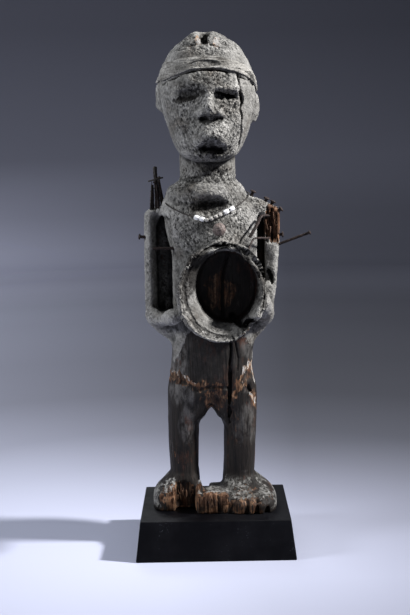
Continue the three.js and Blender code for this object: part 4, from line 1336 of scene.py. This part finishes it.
    # Where the crust is coarse, on face, chest, bowl, shoulder, neck and crown: middle and reach.
    coarse: tuple = (
        ((3, -50, 435), (39, 36, 58)),
        ((0, -34, 335), (52, 46, 46)),
        ((8, -64, 268), (62, 44, 66)),
        ((56, -6, 344), (26, 30, 20)),
        ((0, -10, 372), (60, 60, 22)),
        ((0, -20, 506), (42, 44, 15)),
    )
    # Where it is calm under the necklace: middle and reach.
    collar: tuple = ((2, -44, 365), (44, 40, 11))
    # The groove beside the left arm: how the arm's edge rises and falls in x, its middle and ends in z.
    arm_edge_x: tuple = ((-61.5, -53), (-52, -46))
    arm_edge_z: tuple = (292, (40, 58))
    arm_edge_depth: float = 11.0
    # The y that the rounded edge doesn't go past.
    arm_back: float = 5.0
    # Painted lines: layer, rows of x, z and width, and strength.
    trails: tuple = (
        (RAW, ((-47, 178, 12), (-38, 177, 17), (-27, 173, 11), (-16, 168, 8)), 0.74),
        (RAW, ((-16, 168, 12), (-3, 169, 13), (14, 167, 14)), 0.52),
        (RAW, ((21, 157, 10), (27, 166, 14), (33, 177, 15), (38, 186, 11)), 0.66),
        (RAW, ((39, 160, 10), (43, 149, 9), (44, 141, 6)), 0.55),
        (RAW, ((-40, 112, 5), (-42, 98, 8), (-38, 88, 5)), 0.42),
        (RAW, ((20, 150, 4), (24, 128, 7), (22, 104, 6)), 0.38),
        # The soot rows are painted shade in the hip's hole, the neck's crease and the left eye's slit.
        (SHADE_AND_SOOT, ((37.5, 169, 5), (37, 163.4, 8), (34, 159, 4)), 0.85),
        (SHADE_AND_SOOT, ((-12, 378, 7), (-4, 379.4, 8), (6, 381, 7), (16, 384, 4)), 0.4),
        (SHADE_AND_SOOT, ((-34, 452.4, 3), (-27, 453, 7.4), (-19, 454, 8), (-11, 455.4, 5)), 0.95),
        (PALE_AND_HIGHLIGHT, ((-46, 181, 5), (-38, 182, 6), (-27, 177, 4), (-18, 171, 3)), 0.5),
        (PALE_AND_HIGHLIGHT, ((30, 180, 5), (34, 186, 9), (39, 188, 7), (41, 178, 6), (43, 168, 4)), 0.56),
        (PALE_AND_HIGHLIGHT, ((37, 160, 3), (42, 151, 5), (44, 143, 3)), 0.55),
        (PALE_AND_HIGHLIGHT, ((25, 160, 3), (30, 166, 3), (30, 172, 2)), 0.4),
    )
    # Painted places: layer, middle, reach and strength.
    patches: tuple = (
        (RAW, (1, -14, 155), (17, 30, 15), 0.56),
        (RAW, (-30, -26, 52), (28, 16, 24), 0.9),
        (RAW, (0, -42, 52), (22, 12, 15)),
        (RAW, (30, -46, 49), (27, 14, 12), 0.62),
        (RAW, (30, -34, 62), (14, 14, 7), 0.5),
        (RAW, (54, -26, 52), (7, 14, 9), 0.45),
        (RAW, (-1, -20, 507), (5, 30, 8), 0.45),
        (RAW, (64, -4, 330), (13, 22, 24), 0.75),
        (RAW, (7, -38, 265), (20, 6, 24), 0.6),
        (RAW, (37, -62, 228), (11, 16, 5), 0.5),
        (RAW, (-16, -24, 504), (12, 14, 3), 0.45),
        # The soot rows darken hollows and the undersides of forms: painted shade, with some soot.
        (SHADE_AND_SOOT, (15, -38, 274), (27, 14, 33), 0.6),
        (SHADE_AND_SOOT, (34, -60, 236), (14, 24, 8), 0.84),
        (SHADE_AND_SOOT, (0, -38, 349), (23, 22, 8), 0.85),
        (SHADE_AND_SOOT, (2, -40, 366), (42, 32, 11), 0.28),
        (SHADE_AND_SOOT, (4, -36, 330), (24, 20, 13), 0.5),
        (SHADE_AND_SOOT, (53, -6, 300), (6, 22, 26), 0.5),
        (SHADE_AND_SOOT, (4.6, -44, 404.6), (7, 26, 5.6), 1.0),
        (SHADE_AND_SOOT, (-2, -44, 407), (12, 26, 8), 0.82),
        (SHADE_AND_SOOT, (11, -44, 403), (11, 26, 8), 0.8),
        (SHADE_AND_SOOT, (4, -52, 413), (15, 22, 8), 0.52),
        (SHADE_AND_SOOT, (-13, -48, 402), (11, 20, 8), 0.42),
        (SHADE_AND_SOOT, (0, -52, 436), (11.5, 18, 6.4), 0.72),
        (SHADE_AND_SOOT, (3, -34, 388.5), (25, 26, 8), 0.6),
        (SHADE_AND_SOOT, (-15, -46, 460), (22, 20, 9), 0.46),
        (SHADE_AND_SOOT, (-5, -50, 463), (11, 20, 8), 0.62),
        (SHADE_AND_SOOT, (-41, 3, 318), (6, 12, 34), 0.7),
        (SHADE_AND_SOOT, (-9, -50, 467.5), (24, 18, 8), 0.74),
        (SHADE_AND_SOOT, (8, -14, 512), (46, 50, 14), 0.3),
        (SHADE_AND_SOOT, (-27, -64, 276), (12, 26, 22), 0.84),
        (SHADE_AND_SOOT, (-17, -60, 286), (15, 30, 20), 0.955),
        (SHADE_AND_SOOT, (49, -60, 268), (7, 26, 32), 0.78),
        (SHADE_AND_SOOT, (-12, -62, 299), (20, 26, 12), 0.94),
        (SHADE_AND_SOOT, (-3, -20, 509), (4, 30, 7), 0.8),
        (SHADE_AND_SOOT, (-30, -20, 60), (12, 26, 20), 0.45),
        (SHADE_AND_SOOT, (0, -30, 196), (34, 30, 26), 0.5),
        (SHADE_AND_SOOT, (38, -50, 46), (20, 12, 9), 0.5),
        (SHADE_AND_SOOT, (48, -28, 60), (24, 32, 15), 0.4),
        (DUST, (-28, -26, 128), (10, 20, 22), 0.4),
        (DUST, (38, -24, 128), (18, 18, 26), 0.25),
        (DUST, (-34, -20, 160), (18, 24, 12), 0.45),
        (DUST, (-6, -20, 198), (44, 50, 24), 0.1),
        (DUST, (0, 22, 186), (60, 34, 34), 0.42),
        (DUST, (-36, -10, 196), (16, 40, 24), 0.5),
        (DUST, (40, -6, 206), (14, 36, 16), 0.3),
        (PALE_AND_HIGHLIGHT, (-8.5, -24, 510), (3.6, 18, 9), 0.95),
        (PALE_AND_HIGHLIGHT, (9.2, -26, 508), (3.6, 20, 9), 1.0),
        # Painted highlights on the bowl's lower lip.
        (PALE_AND_HIGHLIGHT, (-18, -62, 242), (10, 22, 14), 0.22),
        (PALE_AND_HIGHLIGHT, (0, -62, 228), (18, 22, 8), 0.34),
        (PALE_AND_HIGHLIGHT, (30, -40, 58), (20, 22, 8), 0.28),
    )

    def paints(self) -> list[Trail | Patch]:
        """All that shows where the raw wood, the dust, the soot and the chips lie."""
        return [*(Trail(*row) for row in self.trails), *(Patch(*row) for row in self.patches)]

    def free(self, points: np.ndarray) -> np.ndarray:
        """How freely each place may move, which is not at all where the figure stands."""
        return eased(points[:, 2], self.stand + 0.4, self.stand + 1.6)

    def arm_edge(self, skin: Skin) -> None:
        """Rounds the inner edge of the left arm back into the groove beside it.

        Args:
            skin: the figure.
        """
        x, y, z = skin.points.T
        rise, fall = self.arm_edge_x
        middle, ends = self.arm_edge_z
        there = eased(x, *rise) * (1 - eased(x, *fall)) * (1 - eased(np.abs(z - middle), *ends))
        rounded = np.minimum(y + self.arm_edge_depth * there, self.arm_back)
        skin.points[:, 1] = np.where(y < self.arm_back, rounded, y)

    def crust(self, skin: Skin) -> np.ndarray:
        """How far the clay covers each vertex.

        Args:
            skin: the figure.
        Returns:
            A share from 0 to 1 for each vertex.
        """
        x, y, z = skin.points.T
        wander = soft_noise(skin.points, 26, 3, 4)
        front = eased(-y, 0, 18) * (1 - eased(np.abs(x - 6), 24, 40))
        swing = self.edge_wander - self.front_calm * front
        edge = self.crust_edge + self.front_rise * front + swing * wander
        clay = eased(z, edge - 9, edge + 6)
        for gap in self.gaps:
            clay = clay * gap.over(skin.points)
        mouth, _ = self.bowl.share(skin.points)
        inside = (1 - eased(mouth + 0.05 * wander, 0.83, 1.0)) * eased(-y, 20, 30)
        return clay * (1 - inside)

    def crumbly(self, points: np.ndarray) -> np.ndarray:
        """How coarse the crust is at each place: calm on the arms, the collar and the bowl's wall.

        Args:
            points: the places in mm.
        Returns:
            A share from 0 to 1 for each place.
        """
        coarse = np.zeros(len(points))
        for middle, reach in self.coarse:
            away = np.linalg.norm((points - middle) / reach, axis=1)
            coarse = np.maximum(coarse, 1 - eased(away, 0.55, 1.05))
        collar = np.linalg.norm((points - self.collar[0]) / self.collar[1], axis=1)
        mouth, t = self.bowl.share(points)
        slope = self.bowl.sloping(points) * (1 - eased(t, 0.45, 0.85)) * (mouth > 0.9)
        wall = np.maximum(1 - eased(mouth, 0.98, 1.1), slope) * eased(-points[:, 1], 20, 30)
        coarse = 0.26 + 0.74 * coarse - 0.5 * (1 - eased(collar, 0.6, 1.0))
        coarse = coarse + 0.42 * soft_noise(points, 16, 19, 3)
        return np.clip(coarse, 0.08, 1) * (1 - 0.85 * wall)

    def feet_tops(self, skin: Skin) -> np.ndarray:
        """How far grey clay covers the tops of the feet and of the block.

        Args:
            skin: the figure.
        Returns:
            A share from 0 to 1 for each vertex.
        """
        z = skin.points[:, 2]
        up = skin.normals()[:, 2]
        wander = soft_noise(skin.points, 10, 9, 3)
        tops = self.foot_clay * eased(up + 1.1 * wander, 0.3, 0.9)
        tops = tops * (1 - eased(z, 72, 88)) * eased(z, 50, 56)
        sides = self.foot_clay * eased(np.abs(skin.points[:, 0] - 1) + 8 * wander, 50, 60)
        sides = sides * (1 - eased(z + 8 * wander, 60, 76)) * eased(z, 40, 44)
        return np.maximum(tops, sides)

    def relief(self, skin: Skin, clay: np.ndarray, raw: np.ndarray) -> np.ndarray:
        """The fine forms of crust and grain.

        Args:
            skin: the figure.
            clay: how far the clay covers each vertex.
            raw: how far each vertex shows raw wood.
        Returns:
            The height in mm at each vertex.
        """
        p = skin.points
        coarse = self.crumbly(p)
        leaning = np.stack([-np.abs(p[:, 0] - 3), p[:, 1], p[:, 2]], axis=1)
        slant = (leaning @ np.array(self.lean).T) * (0.4, 1, 1)
        lumps = self.lumps * soft_noise(p, 12, 21, 2) + 0.5 * soft_noise(slant, 7, 29, 2)
        crumbs = 0.6 * np.abs(soft_noise(slant, 5.4, 23, 2)) + 0.42 * soft_noise(p, 3.2, 27, 2) - 0.15
        bare = eased(soft_noise(p, 15, 5, 2), -0.35, 0.45)
        strokes = pits(slant, 2.7, 31, 0.5) ** 0.8
        holes = pits(p + 1.4 * soft_noise(p, 4, 39, 2)[:, None], 5.4, 37, 0.12)
        crust = lumps + coarse * (0.4 + 0.6 * bare) * self.crumbs * crumbs
        crust = crust - coarse * self.pit_depth * (strokes * (0.35 + 0.65 * bare) + 0.6 * holes)
        crust = crust - 0.3 * pits(p, 3.3, 47, 0.4)
        upright = p * (1, 1, 0.07)
        grain = soft_noise(upright, 2.6, 71, 2)
        ridges = (1 - np.abs(soft_noise(upright, 4.2, 83, 2))) ** 3
        wood = 0.16 * grain - 0.22 * ridges + 0.35 * soft_noise(p, 13, 87, 2)
        teeth = 2.0 * soft_noise(p * (1, 1, 0.16), 7, 89, 2)
        torn = teeth + 1.2 * soft_noise(p * (1, 1, 0.1), 3.4, 91, 3)
        torn = torn - 1.6 * (1 - np.abs(soft_noise(upright, 5, 95))) ** 5
        return clay * (crust + 0.35) + (1 - clay) * ((1 - raw) * wood + raw * torn)

    def shape(self) -> Skin:
        """The skin with its forms, before the fine relief.

        Returns:
            The skin.
        """
        skin = Skin.of_node("carved_figure", "figure", self.voxel + self.coarser)
        on_head = eased(skin.points[:, 2], self.head_foot, self.head_foot + 8)
        free = self.free(skin.points)[:, None]
        skin.smooth(5, free)
        near = eased(-skin.points[:, 1], 30, 50)[:, None]
        skin.smooth(22, free * (1 - 0.8 * on_head[:, None]) * (1 - 0.6 * near))
        for row in self.melted:
            skin.soften(*row)
        for row in self.dents:
            skin.points = skin.points + Dent(*row).over(skin.points)
        self.arm_edge(skin)
        self.bowl.hollow(skin)
        skin.write()
        skin.through("REMESH", mode="VOXEL", voxel_size=self.voxel * MM, adaptivity=0)
        skin.smooth(1, self.free(skin.points)[:, None])
        return skin

    def build(self) -> bpy.types.Object:
        """Builds and dresses the figure.

        Returns:
            The figure.
        """
        skin = self.shape()
        free = self.free(skin.points)
        skin.push(-sum(Groove(*row).over(skin) for row in (*self.grooves, *self.cracks)))
        skin.points[:, 1] += self.bowl.ring(skin)
        self.skin = skin
        clay = self.crust(skin)
        wander = soft_noise(skin.points, 9, 13, 3)
        raw = np.zeros(skin.count)
        for paint in self.paints():
            if paint.layer is RAW:
                raw = np.maximum(raw, paint.over(skin.points, wander))
        out = skin.calmed(skin.normals(), 6)
        skin.points = skin.points + out * (self.relief(skin, clay, raw) * free)[:, None]
        low, high = (np.array(corner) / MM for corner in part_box("figure"))
        skin.points = np.clip(skin.points, low, high)
        skin.write()
        share = self.triangles / (2 * len(skin.object.data.polygons))
        if share < 1:
            skin.through("DECIMATE", ratio=share)
        self.dress(skin)
        return skin.finished(CarvedWood().material(), "crusted_wood", "figure")

    def dress(self, skin: Skin) -> None:
        """Paints what shows at each vertex.

        Args:
            skin: the figure in its final shape.
        """
        wander = soft_noise(skin.points, 9, 13, 3)
        fine = 0.55 * wander + 0.9 * soft_noise(skin.points * (1, 1, 0.5), 3.4, 37, 3)
        layers = {Paint.CLAY: self.crust(skin), RAW: 0, DUST: 0, SHADE_AND_SOOT: 0, PALE_AND_HIGHLIGHT: 0}
        for paint in self.paints():
            edge = 0.6 * fine + 0.4 * wander if paint.layer is SHADE_AND_SOOT else fine
            layers[paint.layer] = np.maximum(layers[paint.layer], paint.over(skin.points, edge))
        layers[Paint.CRUMBLY] = self.crumbly(skin.points)
        layers[Paint.CLAY] = np.maximum(layers[Paint.CLAY] * (1 - layers[RAW]), self.feet_tops(skin))
        # Painted shade: the cracks and the bowl's crevice are darkened by their depth.
        cracks = [Groove(*row) for row in self.cracks]
        dark = [np.clip(crack.over(skin) / crack.depth, 0, 1) for crack in cracks]
        crevice = 0.9 * self.bowl.ring(skin) / self.bowl.crevice
        layers[SHADE_AND_SOOT] = np.maximum.reduce([layers[SHADE_AND_SOOT], crevice, *dark])
        # Painted shade in pits and painted highlights on ridges.
        layers[Paint.RELIEF_SHADING] = 0.5 + 0.5 * skin.pit_depth(5) + 0.2 * skin.pit_depth(30)
        # Painted shade where the figure is closed in.
        layers[Paint.OCCLUSION_SHADE] = skin.occlusion_shade(self.rays, self.shade_reach)
        for layer, values in layers.items():
            skin.paint(layer, values)


@dataclass
class Slivers:
    """Thin torn fibres that lie along a break, each rooted in the wood behind it, in mm."""

    name: str
    count: int
    # The lowest and the highest x and z of their places.
    low: tuple
    high: tuple
    length: tuple
    thick: tuple
    # How far they may stand off the wood.
    out: float
    seed: int
    wobble: float = 0.13

    def build(self, skin: Skin, material: bpy.types.Material) -> bpy.types.Object:
        """Builds and dresses the fibres.

        Args:
            skin: the carved figure that they grow from.
            material: their finish.
        Returns:
            The piece.
        """
        draw = np.random.RandomState(self.seed)
        places = draw.uniform(self.low, self.high, (self.count, 2))
        rows = skin.front(np.column_stack([places, np.ones(self.count)]).tolist())
        bm = bmesh.new()
        for i, (x, y, z, _) in enumerate(rows):
            length = draw.uniform(*self.length)
            thick = draw.uniform(*self.thick)
            flip = Matrix.Rotation(math.pi * (i % 3 == 0), 4, "X")
            nod = Matrix.Rotation(draw.normal() * 0.07, 4, "X")
            lean = nod @ Matrix.Rotation(draw.normal() * 0.08, 4, "Y")
            flat = Matrix.Diagonal((draw.uniform(0.5, 1.0), 1.3, 1, 1))
            place = Matrix.Translation(Vector((x, y - self.out * draw.uniform(-0.4, 1), z)) * MM)
            add_cone(bm, place @ lean @ flip @ flat, 5, thick, 0.15 * thick, length)
        bmesh.ops.subdivide_edges(bm, edges=bm.edges, cuts=2, use_grid_fill=True)
        for vert in bm.verts:
            vert.co.x += draw.normal() * self.wobble * MM
            vert.co.y += draw.normal() * self.wobble * MM
        return settle(new_piece(self.name, bm), material, "crusted_wood")


@dataclass
class Crumbs:
    """Loose lumps of clay that stick to the rim of the bowl, and one larger ball above it, in mm."""

    count: int = 60
    seed: int = 23
    # The turns in degrees that they lie between, the mean and the spread of how far out they lie,
    # as a share of the rim's reach, their radii, and how uneven they are.
    turns: tuple = (110, 330)
    ring: tuple = (0.94, 0.035)
    sizes: tuple = (0.5, 1.3)
    uneven: float = 0.22
    # The larger ball's x, z and radius.
    ball: tuple = (8.2, 315.4, 2.6)
    # The y behind which a lump would miss the rim and is left out.
    rim_back: float = -40.0

    def build(self, skin: Skin, bowl: Bowl, material: bpy.types.Material) -> bpy.types.Object:
        """Builds and dresses the lumps.

        Args:
            skin: the carved figure that they sit on.
            bowl: the bowl.
            material: their finish.
        Returns:
            The piece.
        """
        draw = np.random.RandomState(self.seed)
        turns = np.radians(draw.uniform(*self.turns, self.count))
        reach = draw.normal(*self.ring, self.count)
        rows = np.stack(
            [
                bowl.rim[0] + bowl.rim_reach[0] * reach * np.sin(turns),
                bowl.rim[1] + bowl.rim_reach[1] * reach * np.cos(turns),
                draw.uniform(*self.sizes, self.count),
            ],
            axis=1,
        )
        rows = np.vstack([rows, self.ball])
        bm = bmesh.new()
        for x, y, z, size in skin.front(rows.tolist()):
            if y > self.rim_back:
                continue
            made = bmesh.ops.create_icosphere(bm, subdivisions=2, radius=size * MM)
            for vert in made["verts"]:
                vert.co *= 1 + self.uneven * draw.normal()
            squeeze = Matrix.Diagonal((*draw.uniform(0.7, 1.3, 3), 1))
            place = Matrix.Translation(Vector((x, y + 0.35 * size, z)) * MM) @ squeeze
            bmesh.ops.transform(bm, matrix=place, verts=made["verts"])
        return settle(new_piece("clay_crumbs", bm), material, "crusted_wood")


@dataclass
class Headband:
    """The hide band round the skull, in mm."""

    voxel: float = 0.6
    middle_x: float = -1.0
    hollow: Dent = Dent((-3, -49, 486.6), (18, 12, 5), (0, 5, -0.6))
    # The creases over the brow.
    folds: tuple = (
        Groove(0.8, ((-30, 482, 1.4), (-14, 487.5, 2), (2, 489.4, 2), (16, 488, 1.4))),
        Groove(0.7, ((-22, 488, 1.4), (-4, 492.6, 2), (12, 492, 1.4))),
        Groove(0.9, ((30, 482, 1.4), (39, 478.6, 2.2), (46, 472, 2.2))),
        Groove(0.8, ((34, 486, 1.4), (42, 480, 1.8), (47, 474, 2))),
    )
    # Darkened places, the first painted shade in the hollow over the brow: middle, reach, how far and how
    # finely their edge wanders, its seed, where they start to fade and end, and their strength.
    darkened: tuple = (
        ((-3, -49, 487), (17, 13, 4.4), 0.4, 5, 9, (0.3, 1.1), 0.46),
        ((45, -30, 473), (7, 14, 9), 0.6, 3, 7, (0.5, 1.0), 0.3),
    )

    def build(self) -> bpy.types.Object:
        """Builds and dresses the band.

        Returns:
            The band.
        """
        skin = Skin.of_node("hide_band", "headband", self.voxel)
        skin.smooth(10)
        skin.points = skin.points + self.hollow.over(skin.points)
        p = skin.points
        turn = np.degrees(np.arctan2(p[:, 0] - self.middle_x, -p[:, 1]))
        round_band = np.stack([turn * 0.9, np.zeros(len(p)), p[:, 2]], axis=1)
        creased = (1 - np.abs(soft_noise(round_band * (0.12, 1, 1), 3.2, 15, 2))) ** 4
        relief = 0.4 * soft_noise(p, 8, 5, 3) - 0.4 * creased - 0.4 * pits(p, 4.2, 17, 0.3)
        outer = eased(np.hypot(p[:, 0] - self.middle_x, p[:, 1]), 38, 46)
        for fold in self.folds:
            relief = relief - outer * fold.over(skin)
        skin.push(relief)
        p = skin.points
        # Painted shade in pits and in the hollow over the brow, and a darker right end.
        dark = 0
        for middle, reach, wander, size, seed, fade, strength in self.darkened:
            away = np.linalg.norm((p - middle) / reach, axis=1) + wander * soft_noise(p, size, seed, 2)
            dark = dark + strength * (1 - eased(away, *fade))
        skin.paint(Paint.RELIEF_SHADING, 0.5 + 0.9 * skin.pit_depth(6) + dark)
        return skin.finished(Hide().material(), "hide", "headband")


@dataclass
class Plinth:
    """The block that the figure stands on, in mm."""

    width: float = 160
    depth: float = 140
    top_width: float = 150
    top_depth: float = 130
    height: float = 40
    edge: float = 1.1

    def build(self) -> bpy.types.Object:
        """Builds and dresses the plinth.

        Returns:
            The block.
        """
        bm = bmesh.new()
        bmesh.ops.create_cube(bm, size=1)
        bmesh.ops.translate(bm, verts=bm.verts, vec=(0, 0, 0.5))
        for vert in bm.verts:
            top = vert.co.z > 0.5
            vert.co.x *= (self.top_width if top else self.width) * MM
            vert.co.y *= (self.top_depth if top else self.depth) * MM
            vert.co.z *= self.height * MM
        bmesh.ops.bevel(
            bm, geom=bm.edges, offset=self.edge * MM, affect="EDGES", segments=4, profile=0.5, material=-1
        )
        block = new_piece("plinth_block", bm)
        settle(block, PlinthPaint().material(), "black_wood", "plinth")
        for polygon in block.data.polygons:
            polygon.use_smooth = polygon.area < 2e-4
        return block


@dataclass
class BundlePegs:
    """The rusty pegs packed round the bundle's rod, between the splints, in mm."""

    foot: tuple = (-52.0, -3.0, 344.0)
    tie: tuple = (-54.0, -2.6, 376.0)
    spread: tuple = (6.5, 4.0)
    gather: float = 3.6
    count: int = 9
    seed: int = 31
    wobble: float = 0.14

    def build(self, material: bpy.types.Material) -> bpy.types.Object:
        """Builds and dresses the pegs.

        Args:
            material: their finish.
        Returns:
            The piece.
        """
        draw = np.random.RandomState(self.seed)
        bm = bmesh.new()
        for i in range(self.count):
            turn = 2 * math.pi * i / self.count + draw.normal() * 0.2
            across, deep = math.cos(turn), math.sin(turn)
            root = Vector(self.foot) + Vector((self.spread[0] * across, self.spread[1] * deep, 0))
            goal = Vector(self.tie) + Vector((self.gather * across, self.gather * deep, 0))
            top = root.lerp(goal, draw.uniform(0.72, 1.12))
            thick = draw.uniform(0.8, 1.3)
            turned = (top - root).to_track_quat("Z", "Y").to_matrix().to_4x4()
            middle = Matrix.Translation((root + top) * 0.5 * MM) @ turned
            add_cone(bm, middle, 7, thick, 0.75 * thick, (top - root).length)
            if i % 3 == 0:
                head = Matrix.Translation(top * MM) @ turned
                add_cone(bm, head, 9, 2.1 * thick, 1.7 * thick, 1.2)
        bmesh.ops.subdivide_edges(bm, edges=bm.edges, cuts=2, use_grid_fill=True)
        for vert in bm.verts:
            vert.co += Vector(draw.normal(size=3)) * self.wobble * MM
        return settle(new_piece("bundle_pegs", bm), material, "rusty_iron")


@dataclass
class SmallThings:
    """The nails, the bent irons, the bundle, the knob, the beads and their cord."""

    finishes: tuple = (
        Iron(),
        Iron("charred_wood", (0.006, 0.005, 0.004), (0.014, 0.010, 0.008), (0.06, 0.042, 0.03), 0.0),
        Stuff("white_glass", (0.62, 0.62, 0.62), (0.9, 0.9, 0.92), 0.3, 300, 0.08),
        Stuff("dull_glass", (0.20, 0.19, 0.175), (0.52, 0.5, 0.47), 0.6, 420, 0.15),
        Stuff("resin", (0.035, 0.024, 0.02), (0.20, 0.155, 0.14), 0.62, 420, 0.5),
        Stuff("twine", (0.008, 0.007, 0.006), (0.05, 0.043, 0.037), 0.9, 900, 0.3),
    )
    # How the nodes' names start, the finish, the slot, the faces' width, the lumps and the swell in mm.
    kinds: tuple = (
        (("nail", "bent"), "rusty_iron", "rusty_iron", 0.32, 0.3, 0.35),
        ("bundle_rod", "charred_wood", "rusty_iron", 0.4, 0.45, 0.0),
        ("bundle_splint", "charred_wood", "rusty_iron", 0.4, 0.45, -0.4),
        ("bead_white", "white_glass", "white_glass", 0.3, 0.08, 0.0),
        ("bead_small", "dull_glass", "dull_glass", 0.3, 0.15, 0.0),
        ("chest_knob", "resin", "resin", 0.35, 0.6, 0.0),
        (("necklace_cord", "bundle_tie"), "twine", "twine", 0.25, 0.15, 0.2),
    )

    def rough_copy(self, node: str, voxel: float, lumps: float, swell: float, seed: int) -> Skin:
        """A fine copy of a small node with a lumpy surface.

        Args:
            node: the CAD node.
            voxel: width in mm of the new faces.
            lumps: height in mm of the lumps.
            swell: how much thicker the rust makes it, in mm.
            seed: picks one of many patterns.
        Returns:
            The copy.
        """
        skin = Skin.of_node(f"{node}_worn", node, voxel)
        skin.smooth(3)
        skin.push(swell + lumps * soft_noise(skin.points, 2.4, seed, 3))
        return skin

    def build(self) -> None:
        """Builds and dresses them all."""
        made = {finish.name: finish.material() for finish in self.finishes}
        BundlePegs().build(made["rusty_iron"])
        for seed, node in enumerate(sorted(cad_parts)):
            for starts, finish, slot, voxel, lumps, swell in self.kinds:
                if node.startswith(starts):
                    worn = self.rough_copy(node, voxel, lumps, swell, seed)
                    worn.finished(made[finish], slot, node)


def main() -> None:
    """Builds the scene round the imported CAD model."""
    logging.basicConfig(level=logging.INFO, format="%(name)s: %(message)s")
    Studio().build()
    carving = Carving()
    carving.build()
    clay = Stuff("clay_lumps", (0.03, 0.028, 0.025), (0.24, 0.235, 0.22), 0.95, 500, 0.8)
    Crumbs().build(carving.skin, carving.bowl, clay.material())
    torn = Stuff("torn_fibres", (0.010, 0.005, 0.003), (0.17, 0.085, 0.045), 0.85, 300, 0.5, (1, 1, 0.14))
    fibres = torn.material()
    for slivers in (
        Slivers("shoulder_fibres", 60, (56, 318), (68, 341), (8, 20), (0.4, 1.2), 1.2, 5),
        Slivers("block_fibres", 26, (-18, 49), (16, 57), (4, 10), (0.35, 0.9), 0.5, 6),
        Slivers("foot_fibres", 22, (-55, 50), (-22, 62), (5, 12), (0.35, 0.9), 0.5, 7),
    ):
        slivers.build(carving.skin, fibres)
    Headband().build()
    Plinth().build()
    SmallThings().build()


if __name__ == "__main__":
    main()
